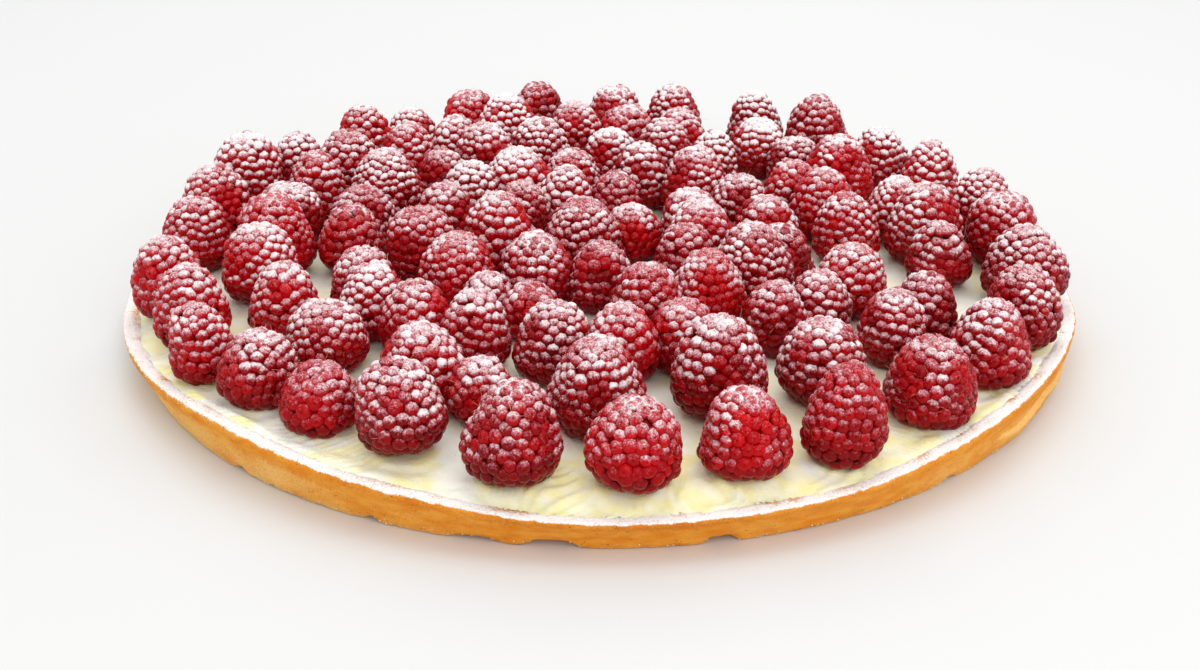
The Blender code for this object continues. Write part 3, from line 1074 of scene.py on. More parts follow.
@dataclass
class Raspberries:
    """All raspberries, one piece for each node: a smooth core covered in drupelets that crowd each other."""

    rings: BerryRings = field(default_factory=BerryRings)
    beads: Drupelets = field(default_factory=Drupelets)
    finish: BerryFinish = BerryFinish()
    fall: SugarFall = SugarFall()
    # the berry's own shape
    swell: float = 1.02
    fullness: float = 0.80
    waists: Span = (0.24, 0.38)
    foot_fullness: Span = (0.50, 0.80)
    foot_angle: float = 150.0
    bulge_size: float = 9.0 * MM
    bulge_height: float = 0.8 * MM
    bulge_from: float = 4.0 * MM
    core_sunk: float = 1.1 * MM
    core_rows: int = 12
    core_columns: int = 20
    core_lowest: float = 152.0
    core_foot: Span = (2.7, 0.6)
    # how drupelets spread over it
    pitch: Span = (2.75 * MM, 3.15 * MM)
    hexagon_area: float = 0.866
    outline_steps: int = 400
    lowest_bead: float = 146.0
    golden_angle: float = math.pi * (3.0 - math.sqrt(5.0))
    disorder: float = 0.30
    size_spread: float = 0.12
    size_limits: Span = (0.72, 1.3)
    tip_size: float = 0.84
    tip_reach: float = 0.35
    pushes: int = 26
    push_share: float = 0.22
    reach: float = 1.08
    neighbours: int = 5
    room_share: float = 0.55
    own_share: float = 0.45
    most_crowded: float = 1.15
    # one drupelet
    bead_width: float = 0.655
    bead_depth: float = 0.60
    low_depth: float = 0.68
    more_depth: float = 0.32
    full_depth_from: float = 10.0 * MM
    oblong: tuple[float, float, float, float] = (1.0, 0.07, 0.85, 1.15)
    stand_out: float = 0.25 * MM
    rise_spread: float = 0.16 * MM
    # how drupelets differ in sugar and colour, with painted light and shade on their red
    washed_size: float = 7.0 * MM
    washed_from: Span = (0.0, 0.55)
    washed_share: float = 0.8
    kept_on_crown: float = 0.75
    crown: Span = (0.40, 0.80)
    sugar_spread: float = 0.15
    tone_shares: tuple[float, float, float] = (0.4, 0.45, 0.15)
    # painted light on drupelets that face up (lit) and painted shade on those that face down (shaded,
    # tone_below, tone_above)
    lit: Span = (0.0, 0.8)
    shaded: Span = (-0.6, 0.3)
    tone_below: float = 0.25
    tone_above: float = 0.75
    seed: int = 400

    def outline(self, berry: Berry, polar: Array) -> tuple[Array, Array]:
        """Side view of a berry: a thimble whose radius goes with the sine and whose height with the cosine.

        The sine is raised to a power below one, which fills the sides out, and above the waist the
        radius shrinks a little towards a pointed tip. How high the waist lies and how full the
        part below it is differ from berry to berry.

        Args:
            berry: The berry.
            polar: Angles from its tip in radians.

        Returns:
            Radius and height at each angle.
        """
        rng = np.random.default_rng(self.seed + 5000 + berry.number)
        waist, foot_fullness = rng.uniform(*self.waists), rng.uniform(*self.foot_fullness)
        level = np.cos(polar)
        narrowing = 1.0 - berry.point * np.maximum(level, 0.0)
        fullness = np.where(level > 0.0, self.fullness, foot_fullness)
        radius = 0.5 * berry.width * self.swell * np.sin(polar) ** fullness * narrowing
        share = np.where(level > 0.0, waist + (1.0 - waist) * level, waist * (1.0 + level))
        return radius, share * berry.height

    def stand(self, berry: Berry) -> tuple[Array, Array]:
        """Turn and place that carry a berry from its own upright frame to the tart.

        Args:
            berry: The berry.

        Returns:
            A rotation matrix, and the place of its foot.
        """
        axis = Vector((-math.sin(berry.lean_towards), math.cos(berry.lean_towards), 0.0))
        turn = np.array(Matrix.Rotation(math.radians(berry.lean), 3, axis))
        foot_share = math.sin(math.radians(self.foot_angle)) ** self.fullness
        foot = 0.5 * berry.width * self.rings.facet_swell * foot_share
        lift = TART.cream_level + TART.gap + foot * math.sin(math.radians(berry.lean))
        return turn, np.array([berry.x, berry.y, lift])

    def spread(self, berry: Berry, rng: Draws) -> dict[str, Array]:
        """Places of a berry's drupelets, which push each other apart until they lie close but uneven.

        They start along a golden-angle spiral with equal areas between them, each a little off its
        place. In each step two beads that are nearer than their mean size move apart along the
        surface, by a share of what is missing.

        Args:
            berry: The berry.
            rng: The berry's own random numbers.

        Returns:
            For every bead its radius and height on the outline, the outline's slope there, its
            angle round the berry and its size.
        """
        polar = np.linspace(1e-3, math.radians(self.lowest_bead), self.outline_steps)
        radius, height = self.outline(berry, polar)
        run = np.concatenate([[0.0], np.cumsum(np.hypot(np.diff(radius), np.diff(height)))])
        area = np.concatenate([[0.0], np.cumsum(math.pi * (radius[1:] + radius[:-1]) * np.diff(run))])
        pitch = rng.uniform(*self.pitch)
        count = round(area[-1] / (self.hexagon_area * pitch ** 2))
        steps = (np.arange(count) + 0.5) / count
        down = np.interp(steps * area[-1], area, run) + rng.normal(0.0, self.disorder, count) * pitch
        here = np.maximum(np.interp(down, run, radius), 0.5 * pitch)
        around = np.arange(count) * self.golden_angle + rng.normal(0.0, self.disorder, count) * pitch / here
        size = pitch * np.clip(rng.normal(1.0, self.size_spread, count), *self.size_limits)
        size *= self.tip_size + (1.0 - self.tip_size) * np.minimum(1.0, down / (self.tip_reach * run[-1]))
        wanted = self.reach * (size[:, None] + size[None]) / 2.0
        slope_radius, slope_height = np.gradient(radius, run), np.gradient(height, run)
        for _ in range(self.pushes):
            here, level = np.interp(down, run, radius), np.interp(down, run, height)
            cos, sin = np.cos(around), np.sin(around)
            spots = np.stack([here * cos, here * sin, level], axis=-1)
            apart = spots[:, None] - spots[None]
            distance = np.maximum(np.linalg.norm(apart, axis=2), 1e-9)
            push = self.push_share * np.maximum(wanted - distance, 0.0) / distance
            moved = np.einsum("ij,ijk->ik", push, apart)
            outwards = moved[:, 0] * cos + moved[:, 1] * sin
            aside = moved[:, 1] * cos - moved[:, 0] * sin
            steep = np.interp(down, run, slope_radius), np.interp(down, run, slope_height)
            down = np.clip(down + outwards * steep[0] + moved[:, 2] * steep[1], 0.0, run[-1])
            around = around + aside / np.maximum(here, 0.4 * pitch)
        room = np.sort(distance, axis=1)[:, 1:1 + self.neighbours].mean(axis=1)
        slope = np.stack([np.interp(down, run, slope_radius), np.interp(down, run, slope_height)], axis=-1)
        return {
            "radius": np.interp(down, run, radius),
            "height": np.interp(down, run, height),
            "slope": slope / np.linalg.norm(slope, axis=1)[:, None],
            "around": around,
            "size": self.room_share * room + self.own_share * np.minimum(size, self.most_crowded * room),
        }

    def bulge(self, berry: Berry, place: Array) -> Array:
        """How far a berry swells out of its outline, or in if below 0, at places in its own frame."""
        swelling = self.bulge_height * lattice_noise(place, self.bulge_size, self.seed + 200 + berry.number)
        return swelling * smooth_step(place[..., 2], 0.0, self.bulge_from)

    def beads_of(self, berry: Berry, spots: dict[str, Array], cells: Array, side: int) -> Shape:
        """All drupelets of one berry.

        Args:
            berry: The berry.
            spots: Where its beads lie, from spread.
            cells: The square of the map for each bead.
            side: Squares along a side of the map.

        Returns:
            The beads as one shape, with its fields.
        """
        rng = np.random.default_rng(self.seed + 1000 + berry.number)
        count = len(spots["size"])
        cos, sin = np.cos(spots["around"]), np.sin(spots["around"])
        zero = np.zeros(count)
        outwards = np.stack([cos, sin, zero], axis=-1)
        aside = np.stack([-sin, cos, zero], axis=-1)
        up = np.array([0.0, 0.0, 1.0])
        down = spots["slope"][:, :1] * outwards + spots["slope"][:, 1:] * up
        normal = -spots["slope"][:, 1:] * outwards + spots["slope"][:, :1] * up
        longer = BerryRings.drawn(rng, self.oblong, count)
        full = smooth_step(spots["height"], 0.0, self.full_depth_from)
        depth = self.bead_depth * spots["size"] * (self.low_depth + self.more_depth * full)
        rise = self.stand_out + rng.normal(0.0, self.rise_spread, count)
        place = spots["radius"][:, None] * outwards + spots["height"][:, None] * up
        centres = place + (rise + self.bulge(berry, place) - depth)[:, None] * normal
        wide = self.bead_width * spots["size"]
        swing = rng.uniform(0.0, math.tau, count)[:, None]
        along = np.cos(swing) * down + np.sin(swing) * aside
        across = np.cos(swing) * aside - np.sin(swing) * down
        axes = np.stack([
            along * (wide * longer)[:, None], across * (wide / longer)[:, None], normal * depth[:, None]
        ], axis=1)
        turn, foot = self.stand(berry)
        template, faces = self.beads.template()
        shape = copies(template, faces, centres @ turn.T + foot, axes @ turn.T)
        squeezed = axes @ turn.T / np.linalg.norm(axes, axis=2)[..., None] ** 2
        facing = np.einsum("pk,nkc->npc", template, squeezed)
        facing_up = facing[..., 2] / np.linalg.norm(facing, axis=2)
        crest = np.broadcast_to(template[None, :, 2], facing_up.shape)
        berry_up = (normal @ turn.T)[:, 2:]
        own = self.own_sugar(berry, place, berry_up[:, 0], rng)
        tone = self.tones(berry, berry_up[:, 0], rng)
        shape.fields = {
            "sugar": self.fall.amount(berry, facing_up, crest, berry_up, own[:, None]).ravel(),
            "tone": np.broadcast_to(tone[:, None], facing_up.shape).ravel(),
            "rise": crest.ravel(),
        }
        shape.places = self.beads.map_places(faces, template, cells, side)
        return shape

    def own_sugar(self, berry: Berry, place: Array, up: Array, rng: Draws) -> Array:
        """How much more or less sugar each drupelet holds than its place gives it.

        Every drupelet differs a little, and patches of a slow noise are nearly bare, though hardly
        any on the crown.

        Args:
            berry: The berry.
            place: Where each drupelet lies in the berry's own frame.
            up: How far each one faces up.
            rng: The berry's own random numbers.

        Returns:
            A share for each drupelet: 0 for no difference and -1 for none left.
        """
        patches = lattice_noise(place, self.washed_size, self.seed + berry.number)
        washed = smooth_step(patches, *self.washed_from)
        washed *= 1.0 - self.kept_on_crown * smooth_step(up, *self.crown)
        return rng.normal(0.0, self.sugar_spread, len(up)) - self.washed_share * washed

    def tones(self, berry: Berry, up: Array, rng: Draws) -> Array:
        """Which red each drupelet has, from ripe at 0 to fresh at 1, with painted light and shade in it.

        It is its own draw, its berry's freshness and a painted light on drupelets that face up, added by
        their shares, and painted shade makes it darker on the underside.

        Args:
            berry: The berry.
            up: How far each drupelet faces up.
            rng: The berry's own random numbers.

        Returns:
            The tones, with painted light and shade.
        """
        by_drupelet, by_berry, by_light = self.tone_shares
        freshness = np.random.default_rng(self.seed + 3000 + berry.number).uniform(0.0, 1.0)
        tone = by_drupelet * rng.uniform(0.0, 1.0, len(up)) + by_berry * freshness
        # painted light: drupelets that face up get a fresher red
        tone = tone + by_light * smooth_step(up, *self.lit)
        # painted shade: drupelets that face down are darkened
        return tone * (self.tone_below + self.tone_above * smooth_step(up, *self.shaded))

    def core_of(self, berry: Berry, cell: int, side: int) -> Shape:
        """The flesh under the drupelets: the berry's outline drawn in by most of a bead's depth.

        Args:
            berry: The berry.
            cell: Its square of the map.
            side: Squares along a side of the map.

        Returns:
            The closed core with its fields.
        """
        polar = np.linspace(0.0, math.pi, self.core_rows + 2)[1:-1]
        radius, height = self.outline(berry, np.minimum(polar, math.radians(self.core_lowest)))
        foot_from, foot_narrowing = self.core_foot
        radius = np.maximum(radius - self.core_sunk * np.sin(polar), 0.5 * MM)
        radius = radius * np.where(polar > foot_from, foot_narrowing, 1.0)
        height = np.maximum(height - self.core_sunk * np.maximum(np.cos(polar), 0.0), 0.0)
        around = turns(self.core_columns)
        rings = ring_points(radius[:, None], around, height[:, None])
        rings[..., :2] *= (1.0 + self.bulge(berry, rings) / np.maximum(radius, MM)[:, None])[..., None]
        tip, foot_height = self.outline(berry, np.array([1e-6, math.pi - 1e-6]))[1]
        poles = np.array([[0.0, 0.0, tip - self.core_sunk], [0.0, 0.0, foot_height]])
        bare = {"sugar": -1.0, "tone": 0.4, "rise": 0.2}
        on_rings = {name: np.full(rings.shape[:2], value) for name, value in bare.items()}
        on_poles = {name: np.full(2, value) for name, value in bare.items()}
        shape = turned_shape(rings, on_rings, poles, on_poles)
        share = np.concatenate([[0.0], np.repeat(polar, self.core_columns), [math.pi]]) / math.pi
        angle = np.concatenate([[0.0], np.tile(around, len(polar)), [0.0]])
        direction = np.stack([np.cos(angle), np.sin(angle)], axis=-1)
        disc = 0.5 + self.beads.disc_radius * share[:, None] * direction
        corner = np.array([cell % side, cell // side])
        shape.places = [(corner + disc[block]) / side for block in shape.faces]
        turn, foot = self.stand(berry)
        shape.points = shape.points @ turn.T + foot
        return shape

    def piece(self, node: str, berries: list[Berry], material: Material) -> Piece:
        """One piece for one node.

        Args:
            node: Name of the CAD node that it stands for.
            berries: The berries of that node.
            material: The berries' material.

        Returns:
            The piece.
        """
        spots = [self.spread(berry, np.random.default_rng(self.seed + berry.number)) for berry in berries]
        counts = [len(entry["size"]) for entry in spots]
        side = math.ceil(math.sqrt(sum(counts) + len(berries)))
        firsts = np.cumsum([len(berries)] + counts)
        beads = joined([
            self.beads_of(berry, entry, np.arange(first, first + count), side)
            for berry, entry, first, count in zip(berries, spots, firsts, counts)
        ])
        cores = joined([self.core_of(berry, cell, side) for cell, berry in enumerate(berries)])
        cores.faces.append(np.zeros((0, beads.faces[2].shape[1]), dtype=int))
        cores.places.append(np.zeros((0, beads.faces[2].shape[1], 2)))
        whole = joined([beads, cores])
        return whole.object(node.replace("raspberr", "fruit_raspberr"), material)

    def build(self) -> dict[str, Piece]:
        """Builds every berry piece and ties it to its node.

        Returns:
            The pieces by the node that each stands for.
        """
        material = self.finish.material()
        made = {}
        for node, berries in self.rings.runs().items():
            piece = self.piece(node, berries, material)
            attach(piece, BODY)
            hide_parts(node)
            report(piece)
            made[node] = piece
        return made


# ---------------------------------------------------------------- cream

@dataclass
class Cream:
    """The layer of cream: smooth between the berries, heaped and ridged towards the rim.

    Sizes of a noise are those of its lumps. Pairs of radii are where a smooth step begins and ends.
    """

    berries: list[Berry]
    finish: CreamFinish = CreamFinish()
    columns: int = 1250
    inner_rows: int = 40
    outer_rows: int = 36
    inner_radius: float = 104.0 * MM
    # its outer edge, and the side and underside that the crust hides
    edge_radius: float = 127.6 * MM
    edge_wander: float = 1.5 * MM
    edge_lobes: float = 9.0 * MM
    edge_width: float = 3.2 * MM
    edge_fall: float = 0.35 * MM
    rim_bend: Span = (119.5 * MM, 126.0 * MM)
    side: tuple[Span, ...] = (
        (123.6 * MM, 9.7 * MM),
        (120.9 * MM, 9.0 * MM),
        (119.6 * MM, 3.8 * MM),
    )
    # its surface
    heaped: Span = (106.0 * MM, 114.0 * MM)
    heap_height: float = 0.35 * MM
    swell_size: float = 17.0 * MM
    swell_height: float = 0.35 * MM
    dollop_size: float = 7.0 * MM
    dollop_millimetres: Span = (0.12, 0.5)
    rib_pitch: float = 2.3 * MM
    rib_height: float = 0.3 * MM
    rib_patch: float = 11.0 * MM
    rib_bend_size: float = 15.0 * MM
    rib_bend: float = 9.0 * MM
    foot_share: float = 0.33
    foot_heap: float = 0.8 * MM
    foot_reach: Span = (2.6 * MM, 0.2 * MM)
    # where it is bare of sugar
    bare_band: Span = (103.0 * MM, 113.0 * MM)
    bare_patch: float = 10.0 * MM
    bare_inside: float = 0.38
    bare_near_rim: float = 0.32
    bare_spread: float = 0.3
    bare_spread_near_rim: float = 0.6
    seed: int = 20

    def edge(self, angle: Array) -> Array:
        """Radius of the cream's outer edge, which wanders over the inside of the rim."""
        wander = rough_noise(ring_points(TART.radius, angle, 0.0), self.edge_lobes, self.seed)
        return self.edge_radius + self.edge_wander * wander

    def near_foot(self, x: Array, y: Array) -> Array:
        """How close points are to a berry's foot: 1 under the berry, falling to 0 beside it.

        Args:
            x: First coordinates.
            y: Second coordinates, of the same shape.

        Returns:
            The closeness to the nearest berry.
        """
        near = np.zeros_like(x)
        for berry in self.berries:
            distance = np.hypot(x - berry.x, y - berry.y) - self.foot_share * berry.width
            near = np.maximum(near, smooth_step(distance, *self.foot_reach))
        return near

    def height(self, x: Array, y: Array) -> Array:
        """Height of the cream's surface: level, with slow swells, and dollops and ribs near the rim.

        Ribs are a sine of a direction that turns from place to place, and they fade in and out.

        Args:
            x: First coordinates.
            y: Second coordinates, of the same shape.

        Returns:
            Heights of the same shape.
        """
        spot = np.stack([x, y, np.zeros_like(x)], axis=-1)
        radius = np.hypot(x, y)
        band = smooth_step(radius, *self.heaped)
        swell = rough_noise(spot, self.swell_size, self.seed + 5)
        dollop = rough_noise(spot, self.dollop_size, self.seed + 9)
        patch = smooth_step(lattice_noise(spot, self.rib_patch, self.seed + 13), -0.3, 0.4)
        bend = lattice_noise(spot, self.rib_bend_size, self.seed + 17)
        along = np.arctan2(y, x) * TART.radius + self.rib_bend * bend + 0.5 * radius
        ribs = np.sin(along * math.tau / self.rib_pitch) * patch * band
        inside, near_rim = self.dollop_millimetres
        level = TART.cream_level + self.swell_height * swell + (inside + near_rim * band) * MM * dollop
        level = level + self.rib_height * ribs + self.heap_height * band
        return level + self.foot_heap * self.near_foot(x, y)

    def surface_point(self, angle: Array, radius: Array) -> Array:
        """Points on the cream's surface, with its edge turned down onto the rim.

        Args:
            angle: Angles round the tart.
            radius: Distances from its middle.

        Returns:
            The points.
        """
        edge = self.edge(angle)
        height = self.height(radius * np.cos(angle), radius * np.sin(angle))
        fall = smooth_step(radius, edge - self.edge_width, edge)
        return TART.follow_rim(ring_points(radius, angle, height - self.edge_fall * fall), *self.rim_bend)

    def bare(self, x: Array, y: Array) -> Array:
        """How bare of sugar the cream is: in patches near the rim, and hardly at all further in.

        Args:
            x: First coordinates.
            y: Second coordinates, of the same shape.

        Returns:
            The bareness, about 0 for none and 1 for full.
        """
        patch = rough_noise(np.stack([x, y, np.zeros_like(x)], axis=-1), self.bare_patch, self.seed + 31)
        band = smooth_step(np.hypot(x, y), *self.bare_band)
        bare = self.bare_inside + band * (self.bare_near_rim + self.bare_spread_near_rim * patch)
        return bare + self.bare_spread * patch + self.bare_spread * self.near_foot(x, y) * band

    def build(self) -> Piece:
        """Builds the cream: its surface out to the edge, a side against the crust, and a flat underside.

        Returns:
            The piece.
        """
        angle = turns(self.columns)
        inner = np.linspace(0.0, self.inner_radius, self.inner_rows + 1)[1:]
        shares = np.linspace(0.0, 1.0, self.outer_rows + 1)[1:]
        outer = self.inner_radius + shares[:, None] * (self.edge(angle)[None] - self.inner_radius)
        radius = np.concatenate([np.repeat(inner[:, None], self.columns, axis=1), outer])
        top = self.surface_point(np.broadcast_to(angle, radius.shape), radius)
        distance, level = np.array(self.side).T[..., None]
        side = TART.follow_rim(ring_points(distance, angle, level), *self.rim_bend)
        rings = np.concatenate([top, side])
        middle = float(self.height(np.zeros(1), np.zeros(1))[0])
        poles = np.array([[0.0, 0.0, middle], [0.0, 0.0, self.side[-1][1]]])
        bare = self.bare(rings[..., 0], rings[..., 1])
        shape = turned_shape(rings, {"bare": bare}, poles, {"bare": np.zeros(2)})
        piece = shape.object("cream_layer", self.finish.material())
        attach(piece, BODY)
        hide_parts("cream")
        report(piece)
        return piece


# ---------------------------------------------------------------- crust

@dataclass(frozen=True)
class Chip:
    """A shallow arch broken out of the crust's lower edge.

    Its place and half its width are in degrees.
    """

    angle: float
    half_width: float
    depth: float


@dataclass(frozen=True)
class Baking:
    """How brown the crust is, with painted light that makes its two front sides lighter, and how much sugar
    lies on it, in shares that add up.

    Pairs of heights or radii are where a smooth step begins and ends.
    """

    evenly: float = 0.15
    upper_edge: float = 0.5
    upper_edge_heights: Span = (6.5 * MM, 10.6 * MM)
    on_rim: float = 0.3
    paler_foot: float = 0.25
    foot_heights: Span = (1.6 * MM, 0.4 * MM)
    paler_brink: float = 0.6
    # painted light: the two front sides are made lighter, as though lit more
    paler_side: float = 0.4
    paler_sides: tuple[Span, ...] = ((-155.0, 1.0), (-25.0, 0.6))
    paler_width: Span = (0.55, 0.95)
    rim_facing: Span = (0.35, 0.95)
    scraped_band: Span = (129.6 * MM, 126.8 * MM)
    scraped_patch: float = 6.5 * MM
    scraped_share: float = 0.52
    sugar_lost: float = 0.17
    sugar_on_brink: float = 0.15
    sugar_on_side: float = 0.85
    dusted_side: Span = (0.87, 0.96)
    dusted_heights: Span = (1.0 * MM, 6.0 * MM)

    def fields(
        self, spot: Array, angle: Array, radius: Array, height: Array, facing_up: Array, brink: Array,
        seed: int,
    ) -> dict[str, Array]:
        """Brownness and sugar at the crust's points.

        The upper edge is browner, and the foot and the brink of the flake are lighter in colour; the two
        front sides are lighter too, which is painted light. Sugar lies on the rim, where it is scraped off in
        patches, and on the left side.

        Args:
            spot: The points before they were roughened.
            angle: Their angles round the tart.
            radius: Their distances from its middle.
            height: Their heights.
            facing_up: How far the surface faces up, with the sand's unevenness.
            brink: 1 at the brink of the flake.
            seed: Seed of the scraped patches.

        Returns:
            "sugar" and "baked".
        """
        on_top = smooth_step(facing_up, *self.rim_facing)
        scraped = smooth_step(rough_noise(spot * (1.0, 1.0, 0.0), self.scraped_patch, seed), -0.15, 0.6)
        scraped = smooth_step(radius, *self.scraped_band) * scraped
        edge = smooth_step(height, *self.upper_edge_heights) * (1.0 - on_top)
        foot = smooth_step(height, *self.foot_heights)
        baked = self.evenly + self.upper_edge * edge + self.on_rim * on_top - self.paler_foot * foot
        # painted light on the two front sides, taken off baked below
        painted_light = sum(
            strength * smooth_step(np.cos(angle - math.radians(place)), *self.paler_width)
            for place, strength in self.paler_sides
        )
        dusted = smooth_step(-np.cos(angle), *self.dusted_side) * smooth_step(height, *self.dusted_heights)
        sugar = on_top * (1.0 - self.scraped_share * scraped) - self.sugar_lost
        sugar = sugar + self.sugar_on_brink * brink + self.sugar_on_side * dusted * (1.0 - on_top)
        return {"sugar": sugar, "baked": baked - self.paler_brink * brink - self.paler_side * painted_light}


@dataclass
class Crust:
    """The baked crust: a sandy wall with a dusted rim, a chipped lower edge and a flat underside.

    Pairs of heights, radii or degrees are where a smooth step begins and ends.
    """

    finish: PastryFinish = PastryFinish()
    baking: Baking = Baking()
    columns: int = 1200
    seed: int = 60
    chips: tuple[Chip, ...] = (
        Chip(-130.5, 1.3, 0.9 * MM),
        Chip(-113.0, 1.2, 0.7 * MM),
        Chip(-102.0, 3.6, 0.8 * MM),
        Chip(-94.5, 3.4, 1.7 * MM),
        Chip(-78.0, 2.2, 1.6 * MM),
        Chip(-50.5, 1.6, 0.7 * MM),
    )
    chipped_front: Span = (-152.0, -28.0)
    chip_at_back: float = 1.3 * MM
    chip_inwards: float = 0.5
    chip_heights: Span = (3.2 * MM, 0.0)
    chip_radii: Span = (119.0 * MM, 124.5 * MM)
    ragged_edge: float = 0.3 * MM
    ledge_top: float = 5.6 * MM
    ledge_foot: float = 5.25 * MM
    flake_left: Span = (-46.0, -37.0)
    flake_right: Span = (-12.0, -20.0)
    flake_depth: float = 1.1
    shows_from: Span = (121.0 * MM, 124.0 * MM)
    lump_size: float = 4.0 * MM
    lump_height: float = 0.15 * MM
    sand_size: float = 1.5 * MM
    sand_height: float = 0.13 * MM
    rim_bend: Span = (118.0 * MM, 122.0 * MM)

    def outline(self) -> Array:
        """Profile of the crust from the axis over the rim to the axis again, with its round edges.

        Each stretch between two named points is cut into even steps of about half a millimetre
        where it shows, and is one step where it doesn't.

        Returns:
            Rows of radius and height.
        """
        top, wide, foot = TART.height, TART.widest, TART.foot_radius
        stretches = (
            (112.0 * MM, TART.base, 1),
            (118.5 * MM, TART.base, 1),
            (121.5 * MM, top - 4.0 * MM, 2),
            (124.6 * MM, top - 1.6 * MM, 6),
            (126.0 * MM, top - 0.8 * MM, 4),
            (127.6 * MM, top - 0.15 * MM, 4),
            (wide - 1.1 * MM, top, 4),
            (wide - 0.45 * MM, top - 0.15 * MM, 2),
            (wide - 0.12 * MM, top - 0.55 * MM, 2),
            (wide, top - 1.2 * MM, 2),
            (foot + 2.75 * MM, self.ledge_top, 9),
            (foot + 2.6 * MM, self.ledge_foot, 2),
            (foot + 1.0 * MM, 1.2 * MM, 10),
            (foot + 0.45 * MM, 0.35 * MM, 3),
            (foot - 0.1 * MM, 0.0, 2),
            (foot - 2.0 * MM, 0.0, 3),
            (foot - 7.0 * MM, 0.0, 2),
            (60.0 * MM, 0.0, 1),
        )
        points = [np.array([[60.0 * MM, TART.base]])]
        for radius, height, steps in stretches:
            share = np.linspace(0.0, 1.0, steps + 1)[1:, None]
            points.append(points[-1][-1] + share * (np.array([radius, height]) - points[-1][-1]))
        return np.concatenate(points)

    @staticmethod
    def degrees(angle: Array) -> Array:
        """Angles in degrees from -180 to 180."""
        return (np.degrees(angle) + 180.0) % 360.0 - 180.0

    def broken(self, angle: Array) -> Array:
        """How far the lower edge is broken away upwards.

        The front has its own chips; round the back they are wherever a slow noise is high. A fine
        noise makes the whole edge ragged.

        Args:
            angle: Angles round the tart.

        Returns:
            Heights of the same shape.
        """
        spot = ring_points(TART.radius, angle, 0.0)
        broad = lattice_noise(spot, 16.0 * MM, self.seed)
        fine = rough_noise(spot, 2.4 * MM, self.seed + 3)
        degrees = self.degrees(angle)
        start, end = self.chipped_front
        depth = self.chip_at_back * smooth_step(broad, 0.1, 0.6) * ((degrees < start) | (degrees > end))
        for chip in self.chips:
            aside = np.abs(degrees - chip.angle)
            depth = np.maximum(depth, chip.depth * smooth_step(aside, chip.half_width, 0.2 * chip.half_width))
        return depth + self.ragged_edge * np.maximum(fine, 0.0)

    def flaked(
        self, angle: Array, radius: Array, height: Array, spot: Array, shows: Array
    ) -> tuple[Array, Array, Array]:
        """Takes a thin flake off the side at the right of the front, down to an uneven ledge.

        Args:
            angle: Angles round the tart.
            radius: Distances from its middle.
            height: Heights.
            spot: The same points as coordinates.
            shows: 1 on the outside, 0 on what is hidden.

        Returns:
            The new radii and heights, and 1 at the flake's brink.
        """
        degrees = self.degrees(angle)
        flake = smooth_step(degrees, *self.flake_left) * smooth_step(degrees, *self.flake_right)
        wander = lattice_noise(spot * (1.0, 1.0, 0.0), 9.0 * MM, self.seed + 21)
        ragged = rough_noise(spot * (1.0, 1.0, 0.0), 2.2 * MM, self.seed + 27, 2)
        ledge = smooth_step(height, self.ledge_top, self.ledge_foot)
        from_ledge = np.abs(height - self.ledge_foot)
        brink = flake * smooth_step(from_ledge, 0.8 * MM, 0.2 * MM) * shows
        sagging = smooth_step(from_ledge, 4.0 * MM, 0.4 * MM)
        radius = radius + flake * (ledge - 0.35) * self.flake_depth * MM * shows
        height = height + flake * sagging * (1.1 * wander + 0.35 * ragged) * MM * shows
        return radius, height, brink

    def build(self) -> Piece:
        """Builds the crust: the outline carried round, bent to the rim, then roughened along its normals.

        Returns:
            The piece.
        """
        outline = self.outline()
        slope = np.gradient(outline, axis=0)
        slope /= np.maximum(np.linalg.norm(slope, axis=1), 1e-12)[:, None]
        out, up = -slope[:, 1:], slope[:, :1]
        angle = np.broadcast_to(turns(self.columns), (len(outline), self.columns))
        radius, height = np.broadcast_to(outline.T[..., None], (2, *angle.shape))
        shows = smooth_step(radius, *self.shows_from) * (1.0 - (up < -0.5))
        low = smooth_step(height, *self.chip_heights) * smooth_step(radius, *self.chip_radii)
        broken = self.broken(angle)
        height = height + broken * low
        radius = radius - self.chip_inwards * broken * low
        spot = ring_points(radius, angle, height)
        radius, height, brink = self.flaked(angle, radius, height, spot, shows)
        lumps = rough_noise(spot * (0.5, 0.5, 1.0), self.lump_size, self.seed + 7)
        sand = rough_noise(spot, self.sand_size, self.seed + 11, 2)
        relief = (self.lump_height * lumps + self.sand_height * sand) * shows
        radius = radius + relief * out
        height = np.maximum(height + relief * up, 0.0)
        fields = self.baking.fields(spot, angle, radius, height, up + 0.35 * sand, brink, self.seed + 33)
        poles = np.array([[0.0, 0.0, TART.base], [0.0, 0.0, 0.0]])
        blank = {name: np.zeros(2) for name in fields}
        rings = TART.follow_rim(ring_points(radius, angle, height), *self.rim_bend)
        piece = turned_shape(rings, fields, poles, blank).object("baked_crust", self.finish.material())
        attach(piece, BODY)
        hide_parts("crust")
        report(piece)
        return piece


# ---------------------------------------------------------------- scattered things

def read_rows(items: bpy.types.bpy_prop_collection, name: str, width: int) -> Array:
    """Reads one property of all items of a mesh's list.

    Args:
        items: Points, normals or the items of a field.
        name: Name of the property.
        width: How many numbers it has for each item.

    Returns:
        One row for each item.
    """
    values = np.empty(len(items) * width, dtype=np.float32)
    items.foreach_get(name, values)
    return values.reshape(-1, width).astype(float)


def mesh_points(piece: Piece) -> Array:
    """All points of a piece as an array."""
    return read_rows(piece.data.vertices, "co", 3)


def mesh_normals(piece: Piece) -> Array:
    """Normals at all points of a piece as an array."""
    return read_rows(piece.data.vertex_normals, "vector", 3)


def mesh_field(piece: Piece, name: str) -> Array:
    """One field of a piece as an array."""
    return read_rows(piece.data.attributes[name].data, "value", 1)[:, 0]


